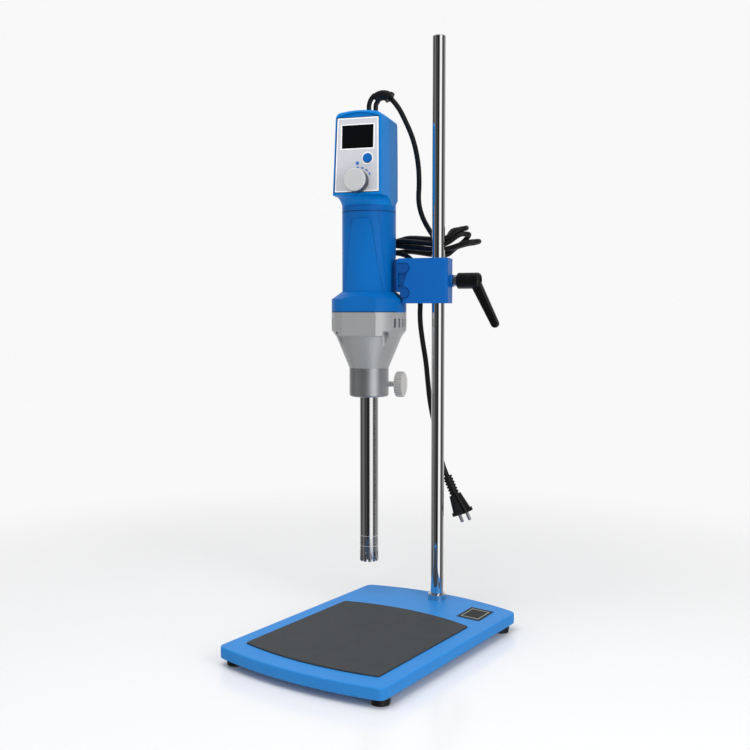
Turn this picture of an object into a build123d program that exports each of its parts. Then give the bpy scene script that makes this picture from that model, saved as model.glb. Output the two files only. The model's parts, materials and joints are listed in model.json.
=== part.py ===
"""Rotor stator homogenizer on a rod stand.

All sizes are in millimetres.  Two frames are used while modelling:

* stand frame: X right along the front edge of the base plate, Y to the rear, Z up, with the
  origin at the centre of the plate's top face;
* arm frame: origin on the axis of the support rod at the height of the plate's top face, X from
  the motor head towards the clamping lever, Y to the rear of the control panel, Z up.  The whole
  clamp and head are swung by ARM_SWING about the rod.

Everything is written out in the row frame: origin in the middle of the footprint on the bench.
"""
from build123d import *
import os
from math import acos, atan2, cos, degrees, hypot, pi, radians, sin, sqrt, tan

# ------------------------------------------------------------------ general clearances
RUN_FIT = 0.05           # radial clearance of a shaft that turns or slides in a bore
SEAT_FIT = 0.02          # radial clearance of a seated, fixed piece
PANEL_GAP = 0.3          # seam round a panel that sits in a pocket
FREE_GAP = 0.4           # gap between pieces that move past each other

# ------------------------------------------------------------------ stand
PLATE_WIDTH = 200.0
PLATE_DEPTH = 267.0      # along the straight side edges
PLATE_THICKNESS = 12.0
PLATE_FRONT_BOW = 11.5   # how far the front edge bulges past the side edges
PLATE_REAR_BOW = 17.3
PLATE_CORNER_RADIUS = 9.0
PLATE_EDGE_RADIUS = 1.5
MAT_WIDTH = 162.6
MAT_FRONT = -113.1       # ends of the mat's straight sides, along Y
MAT_REAR = 57.8
MAT_FRONT_BOW = 9.6
MAT_REAR_BOW = 13.4
MAT_THICKNESS = 2.5
MAT_POCKET_DEPTH = 1.0
MAT_CORNER_RADIUS = 3.0
FOOT_DIAMETER = 20.0
FOOT_HEIGHT = 8.0
FOOT_TAPER = 1.0
FOOT_INSET_X = 12.0      # from the plate's side to a foot's centre
FOOT_INSET_Y = 13.5      # from the end of the plate's side to a foot's centre
FOOT_SCREW_DIAMETER = 4.0
FOOT_SCREW_HEAD_DIAMETER = 8.0
FOOT_SCREW_HEAD_HEIGHT = 2.5
FOOT_SCREW_REACH = 8.0   # thread length in the plate
ROD_DIAMETER = 15.0
ROD_LENGTH = 647.8       # above the plate
ROD_Y = 130.0
ROD_CHAMFER = 1.2
ROD_SEAT_DEPTH = 4.0
ROD_COLLAR_DIAMETER = 21.0
ROD_COLLAR_HEIGHT = 7.0
ROD_COLLAR_CHAMFER = 1.4
ROD_SCREW_DIAMETER = 8.0
ROD_SCREW_REACH = 16.0   # thread length inside the rod
ROD_SCREW_HEAD_DIAMETER = 13.0
ROD_SCREW_HEAD_HEIGHT = 4.5
ROD_SCREW_SOCKET = 6.0   # across flats

# ------------------------------------------------------------------ clamp
ARM_SWING = 17.0         # degrees, head swung forward about the rod
ARM_LENGTH = 83.5        # rod axis to tool axis
CLAMP_RISE = 10.5        # underside above the flange's
CLAMP_HEIGHT = 51.5
CLAMP_THICKNESS = 30.0
CLAMP_END = 14.0         # block's free end, beyond the rod's axis
CLAMP_EDGE_RADIUS = 4.0
BUSH_WALL = 1.5
BUSH_SLIT = 1.5
BUSH_RECESS = 0.8        # bush ends lie this far inside the block
PAD_DIAMETER = 7.0
PAD_LENGTH = 2.4
LEVER_RISE = 25.5        # above the block's underside
BOSS_DIAMETER = 14.0
BOSS_LENGTH = 3.5
STUD_DIAMETER = 8.0
STUD_COLLAR_DIAMETER = 13.5
STUD_COLLAR_LENGTH = 4.6
STUD_SPLINE_DIAMETER = 9.6
STUD_SPLINE_LENGTH = 11.0
HUB_DIAMETER = 18.4
HUB_LENGTH = 27.0
HUB_GROOVE_DEPTH = 0.5
HUB_GROOVE_OFFSET = 17.5
LEVER_BORE_DIAMETER = 12.6
LEVER_SCREW_DIAMETER = 5.0
LEVER_SCREW_HEAD_DIAMETER = 8.6
LEVER_SCREW_HEAD_HEIGHT = 3.2
LEVER_SPRING_LENGTH = 6.5
LEVER_SPRING_WIRE = 0.9
LEVER_LIFT = 4.0         # travel that frees the handle from its spline
ARM_LEAN = 26.0          # degrees the lever's arm leans outwards from straight down
ARM_REACH = 53.0         # lever axis to the tip of its arm, measured downwards
ARM_ROOT_WIDTH = 12.5
ARM_TIP_WIDTH = 9.5
ARM_ROOT_DEPTH = 11.0
ARM_TIP_DEPTH = 8.0
BRACKET_REACH = 8.0      # from the barrel to the clamp block
BRACKET_PLATE = 2.2      # thickness of the cross plate behind the fingers
BRACKET_NECK_HALF = 6.0
BRACKET_RELIEF_DROP = 2.5  # open corner over the flange's slope: depth and width
BRACKET_RELIEF_WIDTH = 6.6
FINGER_DEPTH = 4.0
FINGER_END = -31.0       # tip of a finger, along the arm
FINGER_UPPER_RISE = 35.0  # above the block's underside
FINGER_UPPER_HEIGHT = 10.5
FINGER_LOWER_RISE = 5.5
FINGER_LOWER_HEIGHT = 13.0
FINGER_SEAM = 0.7
BRACKET_TOP_DROP = 1.0    # below the block's top
FLANGE_CLEARANCE = 1.2    # between the flange's slope and the bracket and block
BRACKET_SCREW_DIAMETER = 4.0
BRACKET_SCREW_HEAD = 6.6

# ------------------------------------------------------------------ motor head
HEAD_HEIGHT = 335.0      # underside of the flange above the plate
BARREL_RADIUS = 31.5
BARREL_WALL = 3.0
BARREL_HEIGHT = 123.0    # top above the flange's underside
APRON_RISE = 0.9         # how far the front grip apron stands proud of the barrel
APRON_TOP_HALF = 18.5
APRON_BOTTOM_HALF = 27.0
GRIP_DROP = 15.0         # grip pad's top below the barrel's
GRIP_TOP_HALF = 11.5
GRIP_BOTTOM_HALF = 23.5
GRIP_DEPTH = 1.2         # thickness of the soft grip pad
FLANGE_RADIUS = 44.0
FLANGE_RIM_HEIGHT = 15.4
FLANGE_HEIGHT = 24.0
FLAT_OFFSET = 39.2       # front and rear flats on flange and nose
NOSE_HEIGHT = 65.0
NOSE_CYLINDER_HEIGHT = 21.0
NOSE_SHOULDER_RADIUS = 38.6
NOSE_SHOULDER_DROP = 7.0  # below the cylinder
NOSE_PAD_DROP = 6.0      # how far the front and rear faces reach below the cylinder
NOSE_BOTTOM_RADIUS = 23.2
NOSE_CAVITY_RADIUS = 33.0
NOSE_CAVITY_DEPTH = 24.0
VENTS_PER_SIDE = 7
VENT_PITCH = 10.0        # degrees
VENT_WIDTH = 3.0
VENT_HEIGHT = 11.0
VENT_DROP = 7.0          # below the flange
NOSE_SCREW_RADIUS = 38.4  # pitch radius
NOSE_SCREW_POCKET = 9.0
NOSE_SCREW_DIAMETER = 4.0
NOSE_SCREW_HEAD = 7.4
NOSE_SCREW_HEAD_HEIGHT = 4.0
NOSE_SCREW_GRIP = 15.5   # nose wall between the screw's head and the flange
NOSE_SCREW_REACH = 11.0  # into the flange
HOLDER_RADIUS = 23.2
HOLDER_HEIGHT = 34.0
HOLDER_EDGE_RADIUS = 3.0
HOLDER_RING_COUNT = 4
HOLDER_RING_PITCH = 3.2
HOLDER_RING_WIDTH = 0.6
HOLDER_RING_START = 1.0  # below the nose
HOLDER_RING_DEPTH = 0.5
HOLDER_SPIGOT_RADIUS = 16.0
HOLDER_SPIGOT_LENGTH = 6.0
THUMB_RISE = 15.0        # above the holder's underside
THUMB_STEM_DIAMETER = 6.5
THUMB_THREAD_DIAMETER = 6.0
THUMB_DISC_DIAMETER = 30.0
THUMB_DISC_START = 34.0  # from the tool's axis
THUMB_DISC_THICKNESS = 9.0
THUMB_FLUTES = 30
THUMB_FLUTE_RADIUS = 1.1

# ------------------------------------------------------------------ motor
FIELD_RISE = 17.0        # above the flange's underside
FIELD_HEIGHT = 45.0
FIELD_POLE_RADIUS = 16.6
FIELD_POLE_HALF = 13.5
FIELD_YOKE = 6.0
WINDING_OVERHANG = 7.0
ARMATURE_RADIUS = 16.0
ARMATURE_SLOTS = 12
ARMATURE_SLOT_WIDTH = 2.4
ARMATURE_SLOT_DEPTH = 6.0
SHAFT_RADIUS = 6.0       # at the lower bearing
SHAFT_TOP_RADIUS = 4.0   # at the upper bearing
COMMUTATOR_RADIUS = 11.0
COMMUTATOR_BARS = 12
COMMUTATOR_RISE = 14.0   # above the field core
COMMUTATOR_HEIGHT = 16.0
BRUSH_SIZE = 6.0
BRUSH_LENGTH = 10.0
BRUSH_HOLDER_WALL = 1.4
UPPER_BEARING_RADIUS = 11.0
UPPER_BEARING_DROP = 15.0  # below the barrel's top
UPPER_BEARING_WIDTH = 7.0
LOWER_BEARING_RADIUS = 14.0
LOWER_BEARING_WIDTH = 8.0
LOWER_BEARING_LIP = 5.0  # between the bearing and the cavity's floor
FAN_RADIUS = 30.0
FAN_RISE = 4.0           # above the cavity's floor
FAN_HEIGHT = 14.0
FAN_BLADES = 9
COUPLING_RADIUS = 9.0
COUPLING_HEIGHT = 20.0
COUPLING_DROP = 1.0      # below the bearing
COUPLING_SLOT = 4.2
COUPLING_SLOT_DEPTH = 7.0
COUPLING_ROOM_RADIUS = 12.0

# ------------------------------------------------------------------ dispersing tool
TUBE_RADIUS = 11.0
TUBE_BORE_RADIUS = 9.0
TUBE_DROP = 4.0          # tube's upper end below the nose
TOOL_TIP = 39.5          # lower end of the stator above the plate
STATOR_HEIGHT = 28.0     # up to the seam with the tube
STATOR_RING_RISE = 15.5  # seam in the stator above its tip
SIDE_HOLE_RISE = 43.5    # above the stator's tip
SIDE_HOLE_DIAMETER = 9.4
STATOR_SLOTS = 12
STATOR_SLOT_WIDTH = 2.0
STATOR_SLOT_LENGTH = 13.0
STATOR_SLOT_SLANT = 14.0  # degrees
STATOR_WALL = 1.6
ROTOR_GAP = 0.4          # radial gap between rotor and stator
ROTOR_BLADES = 6
ROTOR_BLADE_WIDTH = 2.6
ROTOR_HEIGHT = 14.0
ROTOR_SHAFT_RADIUS = 3.0
ROTOR_TANG_LENGTH = 6.0
TOOL_BUSH_LENGTH = 12.0
TOOL_TRAVEL = 35.0

# ------------------------------------------------------------------ control box
CHIN_HEIGHT = 9.0        # box above the barrel
BOX_HEIGHT = 95.0
BOX_FRONT_TOP = 41.0     # front face ahead of the tool's axis, at the top
BOX_FRONT_BOTTOM = 47.0  # and at the bottom
BOX_REAR = 31.0
BOX_TOP_HALF = 26.3
BOX_BOTTOM_HALF = 28.5
BOX_CROWN = 3.0          # arch of the top edge
BOX_FRONT_RADIUS = 2.5
BOX_REAR_RADIUS = 12.0
BOX_TOP_RADIUS = 7.0
BOX_WALL = 2.5
SHELL_SPLIT = 15.0       # parting line between the shells, ahead of the tool's axis
PANEL_DROP = 8.5         # below the box's top
PANEL_RISE = 3.3         # above the box's underside
PANEL_TOP_HALF = 24.2
PANEL_BOTTOM_HALF = 26.0
PANEL_THICKNESS = 1.6
PANEL_POCKET_DEPTH = 2.0
PANEL_POCKET_MARGIN = 0.9
PANEL_BACKING = 1.6      # shell wall behind the pocket
PANEL_POCKET_CROWN = 5.0  # arched top of the pocket above the panel's straight top edge
WINDOW_WIDTH = 36.8
WINDOW_HEIGHT = 26.2
WINDOW_DROP = 8.2        # below the panel's top
WINDOW_THICKNESS = 1.0
BUTTON_X = 12.0
BUTTON_RISE = 37.3       # above the panel's lower edge
BUTTON_DIAMETER = 10.0
BUTTON_PROUD = 1.6
BUTTON_TRAVEL = 1.0
BUTTON_STEM_DIAMETER = 4.0
KNOB_X = 1.5
KNOB_RISE = 11.2         # above the panel's lower edge
KNOB_DIAMETER = 26.0
KNOB_DEPTH = 14.0
KNOB_FLUTES = 36
KNOB_FLUTE_RADIUS = 0.8
ENCODER_SIZE = 13.0
ENCODER_DEPTH = 7.0
ENCODER_SHAFT_DIAMETER = 6.0
ENCODER_NECK_DIAMETER = 9.0
BOARD_THICKNESS = 1.6
BOARD_OFFSET = 12.0      # board's front face behind the panel's front face
BOARD_MARGIN = 4.0
MODULE_THICKNESS = 3.0
MODULE_MARGIN = 2.0      # how far the display module reaches past its window
STANDOFF_RADIUS = 2.2
SHELL_SCREW_DIAMETER = 3.0
SHELL_SCREW_HEAD = 5.6
SHELL_SCREW_LENGTH = 34.0
SHELL_SCREW_REACH = 10.0  # how much of the screw lies in the front shell
SHELL_SCREW_INSET = 5.0  # from the box's inner side
SHELL_SCREW_LOW = 10.0   # above the box's bottom
SHELL_SCREW_HIGH = 9.5   # below the box's top

# ------------------------------------------------------------------ lead, hank and plug
CORD_DIAMETER = 6.0
BOOT_Y = 21.0            # strain relief behind the tool's axis
BOOT_BEND_RADIUS = 13.0
BOOT_CENTRE_X = -73.0
BOOT_RISE = 15.5         # bend's centre above the box
BOOT_END_ANGLE = 45.0    # degrees past the top of the bend
BOOT_MERGE_ANGLE = -50.0
BOOT_LIMB_RADIUS = 2.8
BOOT_LIMB_OFFSET = 4.2
BOOT_LIMB_OVERLAP = 15.0 # degrees that a limb runs on inside the sleeve
BOOT_RADIUS = 6.0
BOOT_END_RADIUS = 5.2
BOOT_RING_RADIUS = 7.0
BOOT_RING_WIDTH = 2.2
BOOT_FOOT_RADIUS = 9.0
BOOT_FOOT_HEIGHT = 1.5
LEAD_POINTS = [          # strain relief to hank, arm frame; the first point is the relief's end
    (-55.3, 21.0, 578.2), (-45.7, 21.0, 560.0), (-36.0, 22.0, 538.0), (-30.3, 23.0, 512.0),
    (-29.0, 24.0, 487.0), (-30.6, 24.5, 466.0), (-26.0, 23.5, 448.0), (-16.5, 20.0, 432.0),
    (-6.5, 12.6, 419.8)]
TAIL_POINTS = [          # hank to plug, arm frame
    (-50.0, 28.5, 404.5), (-39.5, 27.0, 398.5), (-31.0, 25.5, 386.5), (-27.0, 24.0, 368.5),
    (-27.0, 22.5, 348.0), (-27.5, 22.0, 326.0), (-24.0, 21.5, 301.0), (-19.5, 21.0, 277.0),
    (-17.0, 20.5, 252.0), (-14.0, 20.0, 227.0), (-8.5, 20.0, 202.0), (-3.6, 20.0, 178.0),
    (0.7, 20.0, 155.5), (7.0, 20.0, 141.5)]
RUN_SHARE = 0.45         # share of the shorter run that a corner's arc takes up
HANK_LEFT = (-57.0, 44.0, 15.8)   # round end of each leg in plan: along the arm, behind it, radius
HANK_WAIST = (0.0, 15.8, 6.2)
HANK_RIGHT = (30.5, 24.0, 15.8)
HANK_UNDERSIDE = [(-72.8, 403.0), (-40.0, 401.5), (-7.0, 398.5), (7.0, 398.5), (20.0, 401.5),
                  (34.0, 406.0), (46.3, 412.0)]
HANK_TOPSIDE = [(46.3, 421.0), (32.0, 437.0), (24.0, 437.0), (7.0, 422.8), (-7.0, 422.8),
                (-58.0, 429.0), (-72.8, 427.0)]
HANK_CORNER = 3.0
TIE_WIDTH = 5.0
TIE_THICKNESS = 1.2
PLUG_DROP = 65.8         # degrees the plug's axis points below horizontal
PLUG_ROLL = -30.0        # degrees the row of pins is rolled about the plug's axis
SLEEVE_LENGTH = 23.0
SLEEVE_RADIUS = 5.7
SLEEVE_NECK_RADIUS = 4.6
SLEEVE_RIBS = 6
PLUG_BODY_LENGTH = 20.0
PLUG_BODY_WIDTH = 22.0
PLUG_BODY_DEPTH = 13.0
PLUG_FLANGE_LENGTH = 4.0
PLUG_FLANGE_WIDTH = 25.5
PLUG_FLANGE_DEPTH = 16.0
PIN_SPACING = 12.7
PIN_DIAMETER = 4.0
PIN_LENGTH = 10.0
PIN_ROOT = 6.0           # length inside the plug

# ------------------------------------------------------------------ worked out from the above
ROD_RADIUS = ROD_DIAMETER / 2
FLANGE_BOTTOM = HEAD_HEIGHT
FLANGE_RIM_TOP = FLANGE_BOTTOM + FLANGE_RIM_HEIGHT
FLANGE_TOP = FLANGE_BOTTOM + FLANGE_HEIGHT
CLAMP_BOTTOM = FLANGE_BOTTOM + CLAMP_RISE
CLAMP_TOP = CLAMP_BOTTOM + CLAMP_HEIGHT
LEVER_HEIGHT = CLAMP_BOTTOM + LEVER_RISE
FINGER_UPPER = (CLAMP_BOTTOM + FINGER_UPPER_RISE, CLAMP_BOTTOM + FINGER_UPPER_RISE + FINGER_UPPER_HEIGHT)
FINGER_LOWER = (CLAMP_BOTTOM + FINGER_LOWER_RISE, CLAMP_BOTTOM + FINGER_LOWER_RISE + FINGER_LOWER_HEIGHT)
BARREL_TOP = FLANGE_BOTTOM + BARREL_HEIGHT
GRIP_TOP = BARREL_TOP - GRIP_DROP
NOSE_BOTTOM = FLANGE_BOTTOM - NOSE_HEIGHT
NOSE_CYLINDER_BOTTOM = FLANGE_BOTTOM - NOSE_CYLINDER_HEIGHT
NOSE_SHOULDER_HEIGHT = NOSE_CYLINDER_BOTTOM - NOSE_SHOULDER_DROP
NOSE_FLOOR = FLANGE_BOTTOM - NOSE_CAVITY_DEPTH
VENT_TOP = FLANGE_BOTTOM - VENT_DROP
VENT_BOTTOM = VENT_TOP - VENT_HEIGHT
NOSE_SCREW_SEAT = FLANGE_BOTTOM - NOSE_SCREW_GRIP
NOSE_SCREW_TOP = FLANGE_BOTTOM + NOSE_SCREW_REACH
HOLDER_BOTTOM = NOSE_BOTTOM - HOLDER_HEIGHT
THUMB_HEIGHT = HOLDER_BOTTOM + THUMB_RISE
FIELD_BOTTOM = FLANGE_BOTTOM + FIELD_RISE
FIELD_TOP = FIELD_BOTTOM + FIELD_HEIGHT
COMMUTATOR_BOTTOM = FIELD_TOP + COMMUTATOR_RISE
COMMUTATOR_TOP = COMMUTATOR_BOTTOM + COMMUTATOR_HEIGHT
UPPER_BEARING_BOTTOM = BARREL_TOP - UPPER_BEARING_DROP
LOWER_BEARING_BOTTOM = NOSE_FLOOR - LOWER_BEARING_LIP - LOWER_BEARING_WIDTH
FAN_BOTTOM = NOSE_FLOOR + FAN_RISE
COUPLING_TOP = LOWER_BEARING_BOTTOM - COUPLING_DROP
COUPLING_BOTTOM = COUPLING_TOP - COUPLING_HEIGHT
TUBE_TOP = NOSE_BOTTOM - TUBE_DROP
STATOR_TOP = TOOL_TIP + STATOR_HEIGHT
STATOR_RING_SEAM = TOOL_TIP + STATOR_RING_RISE
SIDE_HOLE_HEIGHT = TOOL_TIP + SIDE_HOLE_RISE
BOX_BOTTOM = BARREL_TOP + CHIN_HEIGHT
BOX_TOP = BOX_BOTTOM + BOX_HEIGHT
PANEL_TOP = BOX_TOP - PANEL_DROP
PANEL_BOTTOM = BOX_BOTTOM + PANEL_RISE
WINDOW_TOP = PANEL_TOP - WINDOW_DROP
BUTTON_HEIGHT = PANEL_BOTTOM + BUTTON_RISE
KNOB_HEIGHT = PANEL_BOTTOM + KNOB_RISE
BOOT_CENTRE_HEIGHT = BOX_TOP + BOOT_RISE
PLATE_BOTTOM = -PLATE_THICKNESS
FLOOR = PLATE_BOTTOM - FOOT_HEIGHT
HEAD_X = -ARM_LENGTH
BUSH_RADIUS = ROD_RADIUS + RUN_FIT + BUSH_WALL
SADDLE_FACE = HEAD_X + BARREL_RADIUS + BRACKET_REACH
STUD_TIP = BUSH_RADIUS + RUN_FIT + PAD_LENGTH + 2 * RUN_FIT
BOSS_END = CLAMP_END + BOSS_LENGTH
COLLAR_START = BOSS_END + FREE_GAP
HUB_START = COLLAR_START + STUD_COLLAR_LENGTH + FREE_GAP
HUB_END = HUB_START + HUB_LENGTH
SPLINE_END = HUB_START + STUD_SPLINE_LENGTH
LEVER_SHOULDER = SPLINE_END + 1.0
LEVER_SCREW_SEAT = LEVER_SHOULDER + LEVER_SPRING_LENGTH + 2 * RUN_FIT
FIELD_RADIUS = BARREL_RADIUS - BARREL_WALL - SEAT_FIT
APRON_RADIUS = BARREL_RADIUS + APRON_RISE
BEARING_WEB = UPPER_BEARING_BOTTOM - 4.0
SHAFT_BOTTOM = COUPLING_BOTTOM + COUPLING_SLOT_DEPTH + 0.5
SHAFT_STEP = FIELD_TOP + 5.0
CHIN_RADIUS = CHIN_HEIGHT
FRONT_LEAN = atan2(BOX_FRONT_BOTTOM - BOX_FRONT_TOP, BOX_TOP - BOX_BOTTOM)
PANEL_FACE = PANEL_THICKNESS - PANEL_POCKET_DEPTH   # panel's face from the rim, outwards
STATOR_BORE = TUBE_RADIUS - STATOR_WALL
SHELL_SCREW_SEAT = SHELL_SCREW_LENGTH - SHELL_SPLIT - SHELL_SCREW_REACH   # underside of the head
FRONT_WALL = PANEL_POCKET_DEPTH + PANEL_BACKING
SWING = radians(ARM_SWING)
HEAD_PLACE_X = -ARM_LENGTH * cos(SWING)
HEAD_PLACE_Y = ROD_Y - ARM_LENGTH * sin(SWING)
ORIGIN_X = (PLATE_WIDTH / 2 + HEAD_PLACE_X - FLANGE_RADIUS) / 2   # middle of the footprint
ORIGIN_Y = (PLATE_REAR_BOW - PLATE_FRONT_BOW) / 2

LOW = (Align.CENTER, Align.CENTER, Align.MIN)


# ------------------------------------------------------------------ helpers
def upright(radius, bottom, top, x=0.0, y=0.0):
    """Vertical cylinder between two heights."""
    return Pos(x, y, bottom) * Cylinder(radius, top - bottom, align=LOW)


def along_x(radius, start, end, height, y=0.0):
    """Cylinder along X between two X values."""
    return Pos(start, y, height) * Rot(0, 90, 0) * Cylinder(radius, end - start, align=LOW)


def along_y(radius, start, end, x, height):
    """Cylinder along Y between two Y values."""
    return Pos(x, start, height) * Rot(-90, 0, 0) * Cylinder(radius, end - start, align=LOW)


def block(x, y, z):
    """Box between pairs of limits."""
    size = (x[1] - x[0], y[1] - y[0], z[1] - z[0])
    return Pos((x[0] + x[1]) / 2, (y[0] + y[1]) / 2, (z[0] + z[1]) / 2) * Box(*size)


def turned(points):
    """Solid of revolution about Z from (radius, height) points; a 3-long item is an arc's middle."""
    edges = []
    ring = list(points) + [points[0]]
    start = ring[0]
    middle = None
    for item in ring[1:]:
        if len(item) == 3:
            middle = item[:2]
            continue
        if middle:
            edges.append(ThreePointArc(start, middle, item).edge())
        else:
            edges.append(Line(start, item).edge())
        start, middle = item, None
    face = Plane.XZ * Face(Wire(edges))
    return revolve(face, Axis.Z)


def side_prism(points, half):
    """Prism along X from (y, z) points."""
    face = Plane.YZ * Face(Wire(Polyline(*points, close=True).edges()))
    return extrude(face, amount=half, both=True)


def front_prism(points, front, rear):
    """Prism along Y from (x, z) points."""
    wire = Wire(Polyline(*[(x, front, z) for x, z in points], close=True).edges())
    return extrude(Face(wire), amount=rear - front, dir=(0, 1, 0))


def polar(shape, count, first=0.0, step=None):
    """Copies of a shape turned about Z."""
    step = 360 / count if step is None else step
    return [Rot(0, 0, first + i * step) * shape for i in range(count)]


def cut(body, tools):
    """Body less every tool in a list."""
    for tool in tools:
        body = body - tool
    return body


# ------------------------------------------------------------------ stand
def bowed(half, front, rear, front_bow, rear_bow, corner, bottom, top):
    """Slab with straight sides, outward bowed front and rear, and round corners."""
    outline = Face(Wire([
        Line((-half, rear), (-half, front)).edge(),
        ThreePointArc((-half, front), (0, front - front_bow), (half, front)).edge(),
        Line((half, front), (half, rear)).edge(),
        ThreePointArc((half, rear), (0, rear + rear_bow), (-half, rear)).edge()]))
    outline = fillet(outline.vertices(), corner)
    return Pos(0, 0, bottom) * extrude(outline, amount=top - bottom)


def foot_places():
    x = PLATE_WIDTH / 2 - FOOT_INSET_X
    y = PLATE_DEPTH / 2 - FOOT_INSET_Y
    return [(sx * x, sy * y) for sx in (-1, 1) for sy in (-1, 1)]


def base_plate():
    half = PLATE_DEPTH / 2
    plate = bowed(PLATE_WIDTH / 2, -half, half, PLATE_FRONT_BOW, PLATE_REAR_BOW,
                  PLATE_CORNER_RADIUS, PLATE_BOTTOM, 0)
    rims = plate.edges().group_by(Axis.Z)
    plate = fillet(rims[-1] + rims[0], PLATE_EDGE_RADIUS)
    plate -= mat_slab(0, -MAT_POCKET_DEPTH, 0)
    seat = ROD_RADIUS + SEAT_FIT
    head = ROD_SCREW_HEAD_DIAMETER / 2 + FREE_GAP
    tools = [upright(seat, -ROD_SEAT_DEPTH, 0, 0, ROD_Y),
             upright(ROD_SCREW_DIAMETER / 2 + FREE_GAP, PLATE_BOTTOM, 0, 0, ROD_Y),
             upright(head, PLATE_BOTTOM, PLATE_BOTTOM + ROD_SCREW_HEAD_HEIGHT, 0, ROD_Y)]
    for x, y in foot_places():
        top = PLATE_BOTTOM + FOOT_SCREW_REACH
        tools.append(upright(FOOT_SCREW_DIAMETER / 2 + SEAT_FIT, PLATE_BOTTOM, top, x, y))
    return cut(plate, tools)


def mat_slab(gap, bottom, top):
    return bowed(MAT_WIDTH / 2 - gap, MAT_FRONT + gap, MAT_REAR - gap, MAT_FRONT_BOW, MAT_REAR_BOW,
                 MAT_CORNER_RADIUS, bottom, top)


def work_mat():
    mat = mat_slab(PANEL_GAP, -MAT_POCKET_DEPTH, MAT_THICKNESS - MAT_POCKET_DEPTH)
    return fillet(mat.edges().group_by(Axis.Z)[-1], MAT_THICKNESS / 4)


def foot_screw_seat():
    return PLATE_BOTTOM - FOOT_HEIGHT + FOOT_SCREW_HEAD_HEIGHT + 2 * FOOT_TAPER


def rubber_feet():
    feet = []
    seat = foot_screw_seat()
    for x, y in foot_places():
        lift = Pos(x, y, FLOOR)
        foot = lift * Cone(FOOT_DIAMETER / 2 - FOOT_TAPER, FOOT_DIAMETER / 2, FOOT_HEIGHT, align=LOW)
        foot -= upright(FOOT_SCREW_HEAD_DIAMETER / 2 + SEAT_FIT, FLOOR, seat, x, y)
        foot -= upright(FOOT_SCREW_DIAMETER / 2 + SEAT_FIT, seat, PLATE_BOTTOM, x, y)
        feet.append(foot)
    return feet


def foot_screws():
    screws = []
    seat = foot_screw_seat()
    for x, y in foot_places():
        head = upright(FOOT_SCREW_HEAD_DIAMETER / 2, seat - FOOT_SCREW_HEAD_HEIGHT, seat, x, y)
        screw = head + upright(FOOT_SCREW_DIAMETER / 2, seat, PLATE_BOTTOM + FOOT_SCREW_REACH, x, y)
        slot = FOOT_SCREW_HEAD_DIAMETER / 4
        recess = block((x - slot, x + slot), (y - slot / 4, y + slot / 4),
                       (seat - FOOT_SCREW_HEAD_HEIGHT, seat - FOOT_SCREW_HEAD_HEIGHT / 2))
        screws.append(screw - recess - Pos(x, y, 0) * Rot(0, 0, 90) * Pos(-x, -y, 0) * recess)
    return screws


def support_rod():
    rod = upright(ROD_RADIUS, -ROD_SEAT_DEPTH, ROD_LENGTH, 0, ROD_Y)
    rod = chamfer(rod.edges().group_by(Axis.Z)[-1], ROD_CHAMFER)
    thread = ROD_SCREW_DIAMETER / 2 + SEAT_FIT
    return rod - upright(thread, -ROD_SEAT_DEPTH, ROD_SCREW_REACH - ROD_SEAT_DEPTH + 2, 0, ROD_Y)


def rod_collar():
    ring = upright(ROD_COLLAR_DIAMETER / 2, 0, ROD_COLLAR_HEIGHT, 0, ROD_Y)
    ring = chamfer(ring.edges().group_by(Axis.Z)[-1], ROD_COLLAR_CHAMFER)
    return ring - upright(ROD_RADIUS + SEAT_FIT, 0, ROD_COLLAR_HEIGHT, 0, ROD_Y)


def rod_screw():
    top = PLATE_BOTTOM + ROD_SCREW_HEAD_HEIGHT
    low = top - ROD_SCREW_HEAD_HEIGHT + FREE_GAP
    screw = upright(ROD_SCREW_HEAD_DIAMETER / 2, low, top, 0, ROD_Y)
    screw += upright(ROD_SCREW_DIAMETER / 2, top, ROD_SCREW_REACH - ROD_SEAT_DEPTH, 0, ROD_Y)
    socket = extrude(RegularPolygon(ROD_SCREW_SOCKET / 2, 6, major_radius=False), amount=2.5)
    return screw - Pos(0, ROD_Y, low) * socket


# ------------------------------------------------------------------ clamp on the rod
def flange_slope(height_gap):
    """Corner points (x, z) that follow the flange's sloping shoulder, a gap above it."""
    outer = HEAD_X + FLANGE_RADIUS
    inner = HEAD_X + BARREL_RADIUS
    slope = (FLANGE_TOP - FLANGE_RIM_TOP) / (outer - inner)
    corner = (outer + height_gap, FLANGE_RIM_TOP + height_gap)
    left = (inner, FLANGE_TOP + height_gap + height_gap * slope)
    return left, corner


def over_flange(gap, far):
    """Prism that keeps what lies clear of the head's flange."""
    left, corner = flange_slope(gap)
    slope = (left[1] - corner[1]) / (corner[0] - left[0])
    relief_top = left[1] - BRACKET_RELIEF_DROP
    start = left[0] + BRACKET_RELIEF_DROP / slope
    end = start + BRACKET_RELIEF_WIDTH
    points = [(far, CLAMP_BOTTOM), (far, CLAMP_TOP), (left[0], CLAMP_TOP), left, (start, relief_top),
              (end, relief_top), (end, left[1] - slope * (end - left[0])), corner,
              (corner[0], CLAMP_BOTTOM)]
    return front_prism(points, -CLAMP_THICKNESS, CLAMP_THICKNESS)


def finger(limits, front, rear, grow=0.0):
    """One horizontal finger with a round tip, between two Y values."""
    low, high = limits[0] - grow, limits[1] + grow
    radius = (high - low) / 2
    centre = FINGER_END + grow - radius
    body = block((SADDLE_FACE - BRACKET_PLATE, centre), (front, rear), (low, high))
    return body + along_y(radius, front, rear, centre, (low + high) / 2)


def finger_sides():
    """Y limits of the fingers at the front and at the rear of the clamp block."""
    half = CLAMP_THICKNESS / 2
    return [(-half, -half + FINGER_DEPTH), (half - FINGER_DEPTH, half)]


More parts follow.
